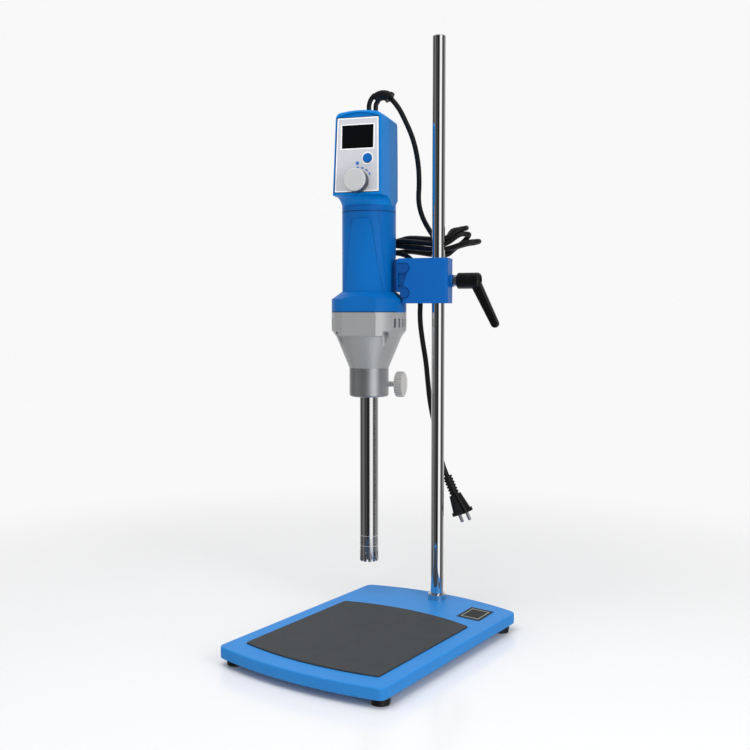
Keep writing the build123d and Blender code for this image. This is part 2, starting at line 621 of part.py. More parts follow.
def finger_recess(front, rear):
    """Open recess between an upper and a lower finger, with a slanting end."""
    top_x = FINGER_END - 2.5
    low_x = FINGER_END - 7.0
    middle = [(SADDLE_FACE, FINGER_LOWER[1]), (low_x, FINGER_LOWER[1]), (top_x, FINGER_UPPER[0]),
              (SADDLE_FACE, FINGER_UPPER[0])]
    return front_prism(middle, front, rear)


def clamp_block():
    half = CLAMP_THICKNESS / 2
    body = block((SADDLE_FACE, CLAMP_END), (-half, half), (CLAMP_BOTTOM, CLAMP_TOP))
    ends = body.edges().filter_by(Axis.Z).group_by(Axis.X)[-1]
    body = fillet(ends, CLAMP_EDGE_RADIUS)
    body = chamfer(body.faces().sort_by(Axis.Z)[-1].edges(), 0.6)
    body &= over_flange(FLANGE_CLEARANCE, CLAMP_END)
    body += along_x(BOSS_DIAMETER / 2, BUSH_RADIUS + 2, BOSS_END, LEVER_HEIGHT)
    for front, rear in finger_sides():
        body -= finger(FINGER_UPPER, front, rear, FINGER_SEAM)
        body -= finger(FINGER_LOWER, front, rear, FINGER_SEAM)
        body -= finger_recess(front, rear)
    body -= upright(BUSH_RADIUS + RUN_FIT, CLAMP_BOTTOM, CLAMP_TOP)
    body -= along_x(STUD_DIAMETER / 2 + RUN_FIT, BUSH_RADIUS, BOSS_END, LEVER_HEIGHT)
    for height in bracket_screw_heights():
        body -= along_y(BRACKET_SCREW_DIAMETER / 2 + SEAT_FIT, 0, half, bracket_screw_x(), height)
    return body


def bracket_screw_x():
    return FINGER_END - (FINGER_UPPER[1] - FINGER_UPPER[0]) / 2


def bracket_screw_heights():
    return [sum(FINGER_UPPER) / 2, sum(FINGER_LOWER) / 2]


def head_bracket():
    """Saddle on the motor barrel with two fingers in front of the block and two behind it."""
    half = CLAMP_THICKNESS / 2
    low, high = flange_slope(FLANGE_CLEARANCE)[0][1] - BRACKET_RELIEF_DROP, CLAMP_TOP - BRACKET_TOP_DROP
    body = block((HEAD_X + BARREL_RADIUS / 2, SADDLE_FACE), (-BRACKET_NECK_HALF, BRACKET_NECK_HALF),
                 (low, high))
    body += block((SADDLE_FACE - BRACKET_PLATE, SADDLE_FACE), (-half, half), (low, high))
    for front, rear in finger_sides():
        for limits in (FINGER_UPPER, FINGER_LOWER):
            bar = finger(limits, front, rear)
            body += bar
    body -= upright(BARREL_RADIUS + SEAT_FIT, CLAMP_BOTTOM, CLAMP_TOP, HEAD_X)
    body &= over_flange(FLANGE_CLEARANCE, CLAMP_END)
    for height in bracket_screw_heights():
        radius = BRACKET_SCREW_DIAMETER / 2 + SEAT_FIT
        body -= along_y(radius, 0, half, bracket_screw_x(), height)
        recess = half - BRACKET_SCREW_DIAMETER / 2
        body -= along_y(BRACKET_SCREW_HEAD / 2 + SEAT_FIT, recess, half, bracket_screw_x(), height)
    return body


def bracket_screws():
    half = CLAMP_THICKNESS / 2
    recess = half - BRACKET_SCREW_DIAMETER / 2
    screws = []
    for height in bracket_screw_heights():
        head = along_y(BRACKET_SCREW_HEAD / 2, recess, half, bracket_screw_x(), height)
        shank = along_y(BRACKET_SCREW_DIAMETER / 2, 1.0, recess, bracket_screw_x(), height)
        socket = Pos(bracket_screw_x(), half, height) * Rot(90, 0, 0) * extrude(
            RegularPolygon(BRACKET_SCREW_DIAMETER / 3, 6), amount=1.4)
        screws.append(head + shank - socket)
    return screws


def rod_bush():
    """Split nylon sleeve that grips the rod and lets the block turn."""
    low, high = CLAMP_BOTTOM + BUSH_RECESS, CLAMP_TOP - BUSH_RECESS
    sleeve = upright(BUSH_RADIUS, low, high) - upright(ROD_RADIUS + RUN_FIT, low, high)
    return sleeve - block((-2 * BUSH_RADIUS, 0), (-BUSH_SLIT / 2, BUSH_SLIT / 2), (low, high))


def pressure_pad():
    start = BUSH_RADIUS + 2 * RUN_FIT
    return along_x(PAD_DIAMETER / 2, start, start + PAD_LENGTH - RUN_FIT, LEVER_HEIGHT)


# ------------------------------------------------------------------ clamping lever
def lever_stud():
    thread = along_x(STUD_DIAMETER / 2, STUD_TIP, COLLAR_START + 1, LEVER_HEIGHT)
    collar = along_x(STUD_COLLAR_DIAMETER / 2, COLLAR_START, COLLAR_START + STUD_COLLAR_LENGTH,
                     LEVER_HEIGHT)
    collar = chamfer(collar.edges().filter_by(GeomType.CIRCLE), 0.5)
    spline = along_x(STUD_SPLINE_DIAMETER / 2, COLLAR_START + STUD_COLLAR_LENGTH, SPLINE_END,
                     LEVER_HEIGHT)
    hole = along_x(LEVER_SCREW_DIAMETER / 2 + SEAT_FIT, SPLINE_END - 9, SPLINE_END, LEVER_HEIGHT)
    return thread + collar + spline - hole


def lever_screw():
    shank = along_x(LEVER_SCREW_DIAMETER / 2, SPLINE_END - 8, LEVER_SCREW_SEAT, LEVER_HEIGHT)
    head = along_x(LEVER_SCREW_HEAD_DIAMETER / 2, LEVER_SCREW_SEAT,
                   LEVER_SCREW_SEAT + LEVER_SCREW_HEAD_HEIGHT, LEVER_HEIGHT)
    slot = LEVER_SCREW_HEAD_DIAMETER / 2
    end = LEVER_SCREW_SEAT + LEVER_SCREW_HEAD_HEIGHT
    return shank + head - block((end - 1.2, end), (-slot, slot),
                                (LEVER_HEIGHT - 0.6, LEVER_HEIGHT + 0.6))


def lever_spring():
    """Spring between the handle's inner shoulder and the screw's head."""
    radius = (LEVER_SCREW_HEAD_DIAMETER + LEVER_SCREW_DIAMETER) / 4 + 0.2
    length = LEVER_SPRING_LENGTH - LEVER_SPRING_WIRE
    coil = Helix(length / 3, length, radius)
    start = coil @ 0
    section = Plane(origin=start, z_dir=coil % 0) * Circle(LEVER_SPRING_WIRE / 2)
    wound = sweep(section, path=coil, is_frenet=True)
    offset = LEVER_SHOULDER + RUN_FIT + LEVER_SPRING_WIRE / 2
    return Pos(offset, 0, LEVER_HEIGHT) * Rot(0, 90, 0) * wound


def lever_arm():
    """Tapering arm that leans outwards from the hub and ends in a round tip."""
    lean = radians(ARM_LEAN)
    length = ARM_REACH / cos(lean)
    root_x = HUB_START + HUB_LENGTH * 0.72
    sections = []
    for share in (0.0, 1.0):
        width = ARM_ROOT_WIDTH + (ARM_TIP_WIDTH - ARM_ROOT_WIDTH) * share
        depth = ARM_ROOT_DEPTH + (ARM_TIP_DEPTH - ARM_ROOT_DEPTH) * share
        drop = (length - ARM_TIP_WIDTH / 2) * share
        place = Plane(origin=(root_x + drop * sin(lean), 0, LEVER_HEIGHT - drop * cos(lean)),
                      x_dir=(cos(lean), 0, sin(lean)), z_dir=(sin(lean), 0, -cos(lean)))
        sections.append(place * RectangleRounded(width, depth, depth * 0.3))
    arm = loft(sections)
    tip_x = root_x + (length - ARM_TIP_WIDTH / 2) * sin(lean)
    tip_z = LEVER_HEIGHT - (length - ARM_TIP_WIDTH / 2) * cos(lean)
    tip = along_y(ARM_TIP_WIDTH / 2, -ARM_TIP_DEPTH / 2, ARM_TIP_DEPTH / 2, tip_x, tip_z)
    tip = fillet(tip.edges().filter_by(GeomType.CIRCLE), ARM_TIP_DEPTH * 0.28)
    return arm + tip


def lever_handle():
    radius = HUB_DIAMETER / 2
    hub = along_x(radius, HUB_START, HUB_END, LEVER_HEIGHT)
    rims = hub.edges().filter_by(GeomType.CIRCLE).sort_by(Axis.X)
    hub = fillet(rims[-1], 4.0)
    hub = chamfer(hub.edges().filter_by(GeomType.CIRCLE).sort_by(Axis.X)[0], 0.8)
    groove = HUB_START + HUB_GROOVE_OFFSET
    hub -= (along_x(radius + 1, groove, groove + 0.8, LEVER_HEIGHT)
            - along_x(radius - HUB_GROOVE_DEPTH, groove, groove + 0.8, LEVER_HEIGHT))
    body = hub + (lever_arm() - along_x(radius - 1, 0, HUB_START, LEVER_HEIGHT))
    body -= along_x(STUD_SPLINE_DIAMETER / 2 + RUN_FIT, 0, LEVER_SHOULDER, LEVER_HEIGHT)
    body -= along_x(LEVER_BORE_DIAMETER / 2, LEVER_SHOULDER, HUB_END, LEVER_HEIGHT)
    return body


# ------------------------------------------------------------------ motor barrel and flange
def apron_outline(bottom, top, low_half, high_half, corner=0.0):
    """Front outline that widens downwards, as a face in the XZ plane."""
    points = [(-low_half, bottom), (low_half, bottom), (high_half, top), (-high_half, top)]
    face = Face(Wire(Polyline(*points, close=True).edges()))
    if corner:
        upper = face.vertices().group_by(Axis.Y)[-1]
        face = fillet(upper, corner)
    return face


def in_front(face, depth):
    """Extrudes an XZ outline towards the front from the tool's axis."""
    return extrude(Plane.XZ * face, amount=depth, dir=(0, -1, 0))


def grip_outline(gap=0.0):
    return apron_outline(FLANGE_TOP, GRIP_TOP - gap, GRIP_BOTTOM_HALF - gap, GRIP_TOP_HALF - gap,
                         5.0 - gap)


def motor_barrel():
    shell = upright(BARREL_RADIUS, FLANGE_BOTTOM, BARREL_TOP)
    reach = 2 * BARREL_RADIUS
    apron = in_front(apron_outline(FLANGE_TOP, BARREL_TOP - 1.5, APRON_BOTTOM_HALF,
                                   APRON_TOP_HALF), reach)
    shell += upright(APRON_RADIUS, FLANGE_TOP, BARREL_TOP) & apron
    floor = upright(APRON_RADIUS + 1, FLANGE_TOP, BARREL_TOP)
    floor -= upright(APRON_RADIUS - GRIP_DEPTH, FLANGE_TOP, BARREL_TOP)
    shell -= in_front(grip_outline(), reach) & floor
    shell -= upright(BARREL_RADIUS - BARREL_WALL, FLANGE_BOTTOM, BEARING_WEB)
    shell -= upright(UPPER_BEARING_RADIUS + SEAT_FIT, BEARING_WEB,
                     UPPER_BEARING_BOTTOM + UPPER_BEARING_WIDTH)
    return shell - upright(UPPER_BEARING_RADIUS * 0.5, BEARING_WEB, BARREL_TOP)


def grip_pad():
    body = upright(APRON_RADIUS, FLANGE_TOP, BARREL_TOP)
    body -= upright(APRON_RADIUS - GRIP_DEPTH, FLANGE_TOP, BARREL_TOP)
    return body & in_front(grip_outline(PANEL_GAP), 2 * BARREL_RADIUS)


def between_flats(bottom, top):
    return block((-FLANGE_RADIUS, FLANGE_RADIUS), (-FLAT_OFFSET, FLAT_OFFSET), (bottom, top))


def nose_screw_places():
    return [(NOSE_SCREW_RADIUS * cos(radians(a)), NOSE_SCREW_RADIUS * sin(radians(a)))
            for a in (45, 135, 225, 315)]


def flange_ring():
    bore = BARREL_RADIUS + SEAT_FIT
    ring = turned([(bore, FLANGE_BOTTOM), (FLANGE_RADIUS, FLANGE_BOTTOM),
                   (FLANGE_RADIUS, FLANGE_RIM_TOP), (bore + 0.6, FLANGE_TOP), (bore, FLANGE_TOP)])
    ring &= between_flats(FLANGE_BOTTOM, FLANGE_TOP)
    tools = [upright(NOSE_SCREW_DIAMETER / 2 + SEAT_FIT, FLANGE_BOTTOM, NOSE_SCREW_TOP, x, y)
             for x, y in nose_screw_places()]
    return cut(ring, tools)


# ------------------------------------------------------------------ motor
def field_core():
    core = upright(FIELD_RADIUS, FIELD_BOTTOM, FIELD_TOP)
    yoke = FIELD_RADIUS - FIELD_YOKE
    window = upright(yoke, FIELD_BOTTOM, FIELD_TOP)
    poles = block((-FIELD_POLE_HALF, FIELD_POLE_HALF), (-FIELD_RADIUS, FIELD_RADIUS),
                  (FIELD_BOTTOM, FIELD_TOP)) - upright(FIELD_POLE_RADIUS, FIELD_BOTTOM, FIELD_TOP)
    return core - (window - poles)


def field_windings():
    """Two saddle coils, one round each pole."""
    yoke = FIELD_RADIUS - FIELD_YOKE - 0.2
    ring = upright(yoke, FIELD_BOTTOM - WINDING_OVERHANG, FIELD_TOP + WINDING_OVERHANG)
    ring -= upright(FIELD_POLE_RADIUS + 0.2, FIELD_BOTTOM - WINDING_OVERHANG,
                    FIELD_TOP + WINDING_OVERHANG)
    inner = FIELD_POLE_HALF + 0.2
    hollow = block((-inner, inner), (-FIELD_RADIUS, FIELD_RADIUS), (FIELD_BOTTOM - 0.2, FIELD_TOP + 0.2))
    coils = []
    for side in (-1, 1):
        limits = (4.0, FIELD_RADIUS) if side > 0 else (-FIELD_RADIUS, -4.0)
        half = block((-FIELD_RADIUS, FIELD_RADIUS), limits,
                     (FIELD_BOTTOM - WINDING_OVERHANG, FIELD_TOP + WINDING_OVERHANG))
        coils.append((ring & half) - hollow)
    return coils


def motor_shaft():
    low = upright(SHAFT_RADIUS, SHAFT_BOTTOM, SHAFT_STEP)
    top = UPPER_BEARING_BOTTOM + UPPER_BEARING_WIDTH + 1.0
    return low + upright(SHAFT_TOP_RADIUS, SHAFT_STEP, top)


def armature_core():
    core = upright(ARMATURE_RADIUS, FIELD_BOTTOM, FIELD_TOP)
    slot = block((ARMATURE_RADIUS - ARMATURE_SLOT_DEPTH, ARMATURE_RADIUS + 1),
                 (-ARMATURE_SLOT_WIDTH / 2, ARMATURE_SLOT_WIDTH / 2), (FIELD_BOTTOM, FIELD_TOP))
    core = cut(core, polar(slot, ARMATURE_SLOTS))
    return core - upright(SHAFT_RADIUS + SEAT_FIT, FIELD_BOTTOM, FIELD_TOP)


def commutator():
    drum = upright(COMMUTATOR_RADIUS, COMMUTATOR_BOTTOM, COMMUTATOR_TOP)
    slit = block((COMMUTATOR_RADIUS - 0.8, COMMUTATOR_RADIUS + 1), (-0.3, 0.3),
                 (COMMUTATOR_BOTTOM, COMMUTATOR_TOP))
    drum = cut(drum, polar(slit, COMMUTATOR_BARS))
    return drum - upright(SHAFT_TOP_RADIUS + SEAT_FIT, COMMUTATOR_BOTTOM, COMMUTATOR_TOP)


def brush_height():
    return (COMMUTATOR_BOTTOM + COMMUTATOR_TOP) / 2


def carbon_brushes():
    start = COMMUTATOR_RADIUS + 0.1
    size = BRUSH_SIZE / 2
    brush = block((start, start + BRUSH_LENGTH), (-size, size),
                  (brush_height() - size, brush_height() + size))
    brush -= upright(start, COMMUTATOR_BOTTOM, COMMUTATOR_TOP)
    return polar(brush, 2)


def brush_holders():
    """Open-ended boxes that guide the brushes and are fixed to the barrel's wall."""
    start = COMMUTATOR_RADIUS + 2.0
    end = BARREL_RADIUS - BARREL_WALL
    inner = BRUSH_SIZE / 2 + 0.1
    outer = inner + BRUSH_HOLDER_WALL
    height = brush_height()
    box = block((start, end + 1), (-outer, outer), (height - outer, height + outer))
    box -= block((start, end - BRUSH_HOLDER_WALL), (-inner, inner), (height - inner, height + inner))
    box &= upright(end - SEAT_FIT, height - 2 * outer, height + 2 * outer)
    return polar(box, 2)


def brush_springs():
    """Coil springs behind the brushes, drawn as closed turns."""
    start = COMMUTATOR_RADIUS + 0.1 + BRUSH_LENGTH + 0.1
    end = BARREL_RADIUS - BARREL_WALL - BRUSH_HOLDER_WALL - 0.3
    ring = along_x(BRUSH_SIZE / 2 - 0.5, start, end, brush_height())
    ring -= along_x(BRUSH_SIZE / 2 - 1.1, start, end, brush_height())
    return polar(ring, 2)


def bearing(outer, inner, bottom, width):
    """Rolling bearing drawn as one ring with shallow grooves for its seals."""
    ring = upright(outer, bottom, bottom + width) - upright(inner, bottom, bottom + width)
    middle = (outer + inner) / 2
    wide = (outer - inner) * 0.22
    for height in (bottom, bottom + width - 0.4):
        ring -= (upright(middle + wide, height, height + 0.4)
                 - upright(middle - wide, height, height + 0.4))
    return ring


def upper_bearing():
    return bearing(UPPER_BEARING_RADIUS, SHAFT_TOP_RADIUS + RUN_FIT, UPPER_BEARING_BOTTOM,
                   UPPER_BEARING_WIDTH)


def lower_bearing():
    return bearing(LOWER_BEARING_RADIUS, SHAFT_RADIUS + RUN_FIT, LOWER_BEARING_BOTTOM,
                   LOWER_BEARING_WIDTH)


def cooling_fan():
    hub = upright(SHAFT_RADIUS + 4, FAN_BOTTOM, FAN_BOTTOM + FAN_HEIGHT)
    plate = upright(FAN_RADIUS, FAN_BOTTOM + FAN_HEIGHT - 1.5, FAN_BOTTOM + FAN_HEIGHT)
    blade = Pos(SHAFT_RADIUS + 3, 0, 0) * Rot(0, 0, 18) * block(
        (0, FAN_RADIUS - SHAFT_RADIUS - 4), (-0.7, 0.7), (FAN_BOTTOM, FAN_BOTTOM + FAN_HEIGHT - 1))
    body = hub + plate
    for copy in polar(blade, FAN_BLADES):
        body += copy
    return body - upright(SHAFT_RADIUS + SEAT_FIT, FAN_BOTTOM, FAN_BOTTOM + FAN_HEIGHT)


def drive_coupling():
    body = upright(COUPLING_RADIUS, COUPLING_BOTTOM, COUPLING_TOP)
    body = chamfer(body.edges().group_by(Axis.Z)[0], 0.8)
    body -= upright(SHAFT_RADIUS + SEAT_FIT, SHAFT_BOTTOM - 0.5, COUPLING_TOP)
    half = COUPLING_SLOT / 2
    return body - block((-COUPLING_RADIUS, COUPLING_RADIUS), (-half, half),
                        (COUPLING_BOTTOM, COUPLING_BOTTOM + COUPLING_SLOT_DEPTH))


# ------------------------------------------------------------------ nose and tool holder
def nose_pads():
    """Front and rear faces of the nose, which run down past its sloping shoulder."""
    half = NOSE_SCREW_RADIUS * cos(pi / 4)
    low = NOSE_CYLINDER_BOTTOM - NOSE_PAD_DROP
    pads = block((-half, half), (-FLAT_OFFSET, FLAT_OFFSET), (low, NOSE_CYLINDER_BOTTOM))
    return (pads & upright(FLANGE_RADIUS, low, NOSE_CYLINDER_BOTTOM)) - upright(
        NOSE_CAVITY_RADIUS, low, NOSE_CYLINDER_BOTTOM)


def nose_housing():
    seat = LOWER_BEARING_RADIUS + SEAT_FIT
    spigot = HOLDER_SPIGOT_RADIUS + SEAT_FIT
    spigot_top = NOSE_BOTTOM + HOLDER_SPIGOT_LENGTH
    body = turned([(NOSE_CAVITY_RADIUS, FLANGE_BOTTOM), (FLANGE_RADIUS, FLANGE_BOTTOM),
                   (FLANGE_RADIUS, NOSE_CYLINDER_BOTTOM),
                   (NOSE_SHOULDER_RADIUS, NOSE_SHOULDER_HEIGHT), (NOSE_BOTTOM_RADIUS, NOSE_BOTTOM),
                   (spigot, NOSE_BOTTOM), (spigot, spigot_top), (COUPLING_ROOM_RADIUS, spigot_top),
                   (COUPLING_ROOM_RADIUS, LOWER_BEARING_BOTTOM), (seat, LOWER_BEARING_BOTTOM),
                   (seat, NOSE_FLOOR), (NOSE_CAVITY_RADIUS, NOSE_FLOOR)])
    body &= between_flats(NOSE_BOTTOM, FLANGE_BOTTOM)
    body += nose_pads()
    outline = Plane.YZ * SlotOverall(VENT_HEIGHT, VENT_WIDTH, rotation=90)
    slot = Pos(0, 0, VENT_BOTTOM + VENT_HEIGHT / 2) * extrude(outline, amount=2 * FLANGE_RADIUS)
    slot -= upright(NOSE_CAVITY_RADIUS - VENT_WIDTH, VENT_BOTTOM, VENT_TOP)
    first = -VENT_PITCH * (VENTS_PER_SIDE - 1) / 2
    tools = polar(slot, VENTS_PER_SIDE, first, VENT_PITCH)
    tools += polar(slot, VENTS_PER_SIDE, first + 180, VENT_PITCH)
    for x, y in nose_screw_places():
        tools.append(upright(NOSE_SCREW_POCKET / 2, NOSE_BOTTOM, NOSE_SCREW_SEAT, x, y))
        tools.append(upright(NOSE_SCREW_DIAMETER / 2 + SEAT_FIT, NOSE_SCREW_SEAT, FLANGE_BOTTOM, x, y))
    return cut(body, tools)


def nose_screws():
    screws = []
    for x, y in nose_screw_places():
        low = NOSE_SCREW_SEAT - NOSE_SCREW_HEAD_HEIGHT
        head = upright(NOSE_SCREW_HEAD / 2, low, NOSE_SCREW_SEAT, x, y)
        shank = upright(NOSE_SCREW_DIAMETER / 2, NOSE_SCREW_SEAT, NOSE_SCREW_TOP - 1, x, y)
        socket = extrude(RegularPolygon(NOSE_SCREW_DIAMETER / 2.6, 6), amount=2.0)
        screws.append(head + shank - Pos(x, y, low) * socket)
    return screws


def tool_holder():
    bore = TUBE_RADIUS + RUN_FIT
    top = NOSE_BOTTOM + HOLDER_SPIGOT_LENGTH
    edge = HOLDER_EDGE_RADIUS
    knee = (HOLDER_RADIUS - edge * (1 - sin(pi / 4)), HOLDER_BOTTOM + edge * (1 - cos(pi / 4)), 0)
    body = turned([(bore, HOLDER_BOTTOM), (HOLDER_RADIUS - edge, HOLDER_BOTTOM), knee,
                   (HOLDER_RADIUS, HOLDER_BOTTOM + edge), (HOLDER_RADIUS, NOSE_BOTTOM),
                   (HOLDER_SPIGOT_RADIUS, NOSE_BOTTOM), (HOLDER_SPIGOT_RADIUS, top),
                   (TUBE_BORE_RADIUS, top), (TUBE_BORE_RADIUS, TUBE_TOP + 0.3),
                   (bore, TUBE_TOP + 0.3)])
    for i in range(HOLDER_RING_COUNT):
        top = NOSE_BOTTOM - HOLDER_RING_START - i * HOLDER_RING_PITCH
        low = top - HOLDER_RING_WIDTH
        body -= (upright(HOLDER_RADIUS, low, top)
                 - upright(HOLDER_RADIUS - HOLDER_RING_DEPTH, low, top))
    return body - along_x(THUMB_THREAD_DIAMETER / 2 + RUN_FIT, 0, HOLDER_RADIUS + 1, THUMB_HEIGHT)


def thumb_screw():
    seat = HOLDER_RADIUS + FREE_GAP
    body = along_x(THUMB_THREAD_DIAMETER / 2, TUBE_RADIUS + 0.3, seat, THUMB_HEIGHT)
    body += along_x(THUMB_STEM_DIAMETER / 2, seat, THUMB_DISC_START, THUMB_HEIGHT)
    radius = THUMB_DISC_DIAMETER / 2
    end = THUMB_DISC_START + THUMB_DISC_THICKNESS
    disc = along_x(radius, THUMB_DISC_START, end, THUMB_HEIGHT)
    disc = chamfer(disc.edges().filter_by(GeomType.CIRCLE), 1.0)
    for i in range(THUMB_FLUTES):
        angle = 2 * pi * i / THUMB_FLUTES
        y, z = radius * cos(angle), THUMB_HEIGHT + radius * sin(angle)
        disc -= along_x(THUMB_FLUTE_RADIUS, THUMB_DISC_START, end, z, y)
    return body + disc


# ------------------------------------------------------------------ dispersing tool
def tool_tube():
    tube = upright(TUBE_RADIUS, STATOR_TOP, TUBE_TOP) - upright(TUBE_BORE_RADIUS, STATOR_TOP, TUBE_TOP)
    tube = chamfer(tube.edges().group_by(Axis.Z)[-1].sort_by(SortBy.LENGTH)[-1], 0.6)
    return tube - along_x(SIDE_HOLE_DIAMETER / 2, -2 * TUBE_RADIUS, 0, SIDE_HOLE_HEIGHT)


def stator_head():
    body = turned([(STATOR_BORE, TOOL_TIP), (TUBE_RADIUS, TOOL_TIP), (TUBE_RADIUS, STATOR_TOP),
                   (TUBE_BORE_RADIUS - SEAT_FIT, STATOR_TOP),
                   (TUBE_BORE_RADIUS - SEAT_FIT, STATOR_TOP + 3),
                   (ROTOR_SHAFT_RADIUS + 1.5, STATOR_TOP + 3),
                   (ROTOR_SHAFT_RADIUS + 1.5, STATOR_RING_SEAM + 3),
                   (STATOR_BORE, STATOR_RING_SEAM + 3)])
    for height in (STATOR_RING_SEAM, STATOR_TOP - 0.5):
        body -= (upright(TUBE_RADIUS + 1, height, height + 0.5)
                 - upright(TUBE_RADIUS - 0.3, height, height + 0.5))
    middle = TOOL_TIP + STATOR_SLOT_LENGTH / 2 - 1
    half = STATOR_SLOT_WIDTH / 2
    slot = block((STATOR_BORE - 1, TUBE_RADIUS + 1), (-half, half),
                 (-STATOR_SLOT_LENGTH / 2, STATOR_SLOT_LENGTH / 2))
    slot = Pos(0, 0, middle) * Rot(STATOR_SLOT_SLANT, 0, 0) * slot
    return cut(body, polar(slot, STATOR_SLOTS))


def rotor():
    radius = STATOR_BORE - ROTOR_GAP
    low = TOOL_TIP + 1.0
    hub = upright(ROTOR_SHAFT_RADIUS + 2.0, low, low + ROTOR_HEIGHT)
    half = ROTOR_BLADE_WIDTH / 2
    blade = block((0, radius), (-half, half), (low, low + ROTOR_HEIGHT - 2)) & upright(
        radius, low, low + ROTOR_HEIGHT)
    body = hub
    for copy in polar(blade, ROTOR_BLADES):
        body += copy
    return body - upright(ROTOR_SHAFT_RADIUS + SEAT_FIT, low + 3, low + ROTOR_HEIGHT)


def rotor_shaft():
    low = TOOL_TIP + 1.0 + 3.2
    top = COUPLING_BOTTOM + ROTOR_TANG_LENGTH
    shaft = upright(ROTOR_SHAFT_RADIUS, low, top)
    half = COUPLING_SLOT / 2 - 0.1
    flat = block((-10, 10), (-half, half), (COUPLING_BOTTOM - 0.5, top))
    tang = upright(ROTOR_SHAFT_RADIUS, COUPLING_BOTTOM - 0.5, top)
    return shaft - (tang - flat)


def tool_bushes():
    places = [STATOR_TOP + 3.2, TUBE_TOP - TOOL_BUSH_LENGTH - 1]
    lengths = [SIDE_HOLE_HEIGHT - SIDE_HOLE_DIAMETER / 2 - places[0] - 0.5, TOOL_BUSH_LENGTH]
    return [upright(TUBE_BORE_RADIUS - SEAT_FIT, z, z + h)
            - upright(ROTOR_SHAFT_RADIUS + RUN_FIT, z, z + h) for z, h in zip(places, lengths)]


# ------------------------------------------------------------------ control box
def front_plane():
    """Plane of the box's front rim: X right, Y up the slope, Z out of the panel."""
    return Plane(origin=(0, -BOX_FRONT_BOTTOM, BOX_BOTTOM), x_dir=(1, 0, 0),
                 z_dir=(0, -cos(FRONT_LEAN), sin(FRONT_LEAN)))


def up_slope(height):
    """Distance up the front plane of a height."""
    return (height - BOX_BOTTOM) / cos(FRONT_LEAN)


def on_front(face, start, end):
    """Extrudes a sketch on the front plane between two offsets, outwards positive."""
    return extrude(front_plane().offset(start) * face, amount=end - start, dir=front_plane().z_dir)


def front_disc(radius, x, height, start, end):
    return on_front(Pos(x, up_slope(height)) * Circle(radius), start, end)


def box_section(y, grow, inset):
    """Cross-section of the box square to the panel: wider at the bottom, arched on top."""
    slope = (BOX_BOTTOM_HALF - BOX_TOP_HALF) / (BOX_TOP - BOX_BOTTOM)
    top = BOX_TOP - inset
    shoulder = top - BOX_CROWN
    low = BARREL_TOP + (inset + CHIN_RADIUS if inset else 0)
    high_half = BOX_TOP_HALF + grow - inset
    low_half = BOX_BOTTOM_HALF + slope * (BOX_BOTTOM - low) + grow - inset
    outline = Face(Wire([
        Line((-low_half, low), (low_half, low)).edge(),
        Line((low_half, low), (high_half, shoulder)).edge(),
        ThreePointArc((high_half, shoulder), (0, top), (-high_half, shoulder)).edge(),
        Line((-high_half, shoulder), (-low_half, low)).edge()]))
    outline = fillet(outline.vertices().group_by(Axis.Y)[-1], max(BOX_TOP_RADIUS - inset, 2))
    return Plane(origin=(0, y, 0), x_dir=(1, 0, 0), z_dir=(0, -1, 0)) * outline


def box_front_block(inset, front_inset):
    """Front half of the box, ahead of the parting line."""
    body = loft([box_section(-SHELL_SPLIT, 1.5, inset), box_section(-BOX_FRONT_BOTTOM - 8, 0, inset)])
    lean = tan(FRONT_LEAN)
    rim = -BOX_FRONT_BOTTOM + front_inset
    low, high = BARREL_TOP - 5, BOX_TOP + 5
    keep = side_prism([(0, low), (rim - (BOX_BOTTOM - low) * lean, low),
                       (rim + (high - BOX_BOTTOM) * lean, high), (0, high)], 60)
    body &= keep
    if not inset:
        rim_edges = body.faces().sort_by(Axis.Y)[0].edges()
        top_edges = [e for e in rim_edges if e.center().Z > BOX_BOTTOM + 3]
        body = fillet(top_edges, BOX_FRONT_RADIUS)
    return body


def box_rear_block(inset):
    """Rear half of the box, with large corner radii."""
    body = loft([box_section(-SHELL_SPLIT, 1.5, inset), box_section(BOX_REAR, 0.5, inset)])
    rear = BOX_REAR - inset
    radius = BOX_REAR_RADIUS - inset
    outline = Rectangle(100, 80, align=(Align.CENTER, Align.MAX))
    half = BOX_BOTTOM_HALF + 0.5 - inset
    plan = Pos(0, rear) * RectangleRounded(2 * half, 4 * radius, radius - 0.01,
                                           align=(Align.CENTER, Align.MAX))
    plan += Pos(0, rear - 2 * radius) * outline
    body &= Pos(0, 0, BARREL_TOP - 5) * extrude(plan, amount=BOX_TOP - BARREL_TOP + 20)
    side = Pos(rear, BOX_TOP - inset) * RectangleRounded(
        4 * BOX_TOP_RADIUS, 4 * BOX_TOP_RADIUS, BOX_TOP_RADIUS, align=(Align.MAX, Align.MAX))
    side += Pos(rear - 2 * BOX_TOP_RADIUS, BOX_TOP + 10) * Rectangle(
        100, 300, align=(Align.MAX, Align.MAX))
    side += Pos(rear, BOX_TOP - inset - 2 * BOX_TOP_RADIUS) * Rectangle(
        100, 200, align=(Align.MAX, Align.MAX))
    return body & extrude(Plane.YZ * side, amount=60, both=True)


def chin():
    """Flared solid of revolution that blends the box into the round barrel."""
    edge = BARREL_RADIUS + CHIN_RADIUS
    middle = (BARREL_RADIUS + CHIN_RADIUS * (1 - cos(pi / 4)),
              BARREL_TOP + CHIN_RADIUS * sin(pi / 4), 0)
    return turned([(0, BARREL_TOP), (BARREL_RADIUS, BARREL_TOP), middle, (edge, BOX_BOTTOM),
                   (120, BOX_BOTTOM), (120, BOX_TOP + 20), (0, BOX_TOP + 20)])


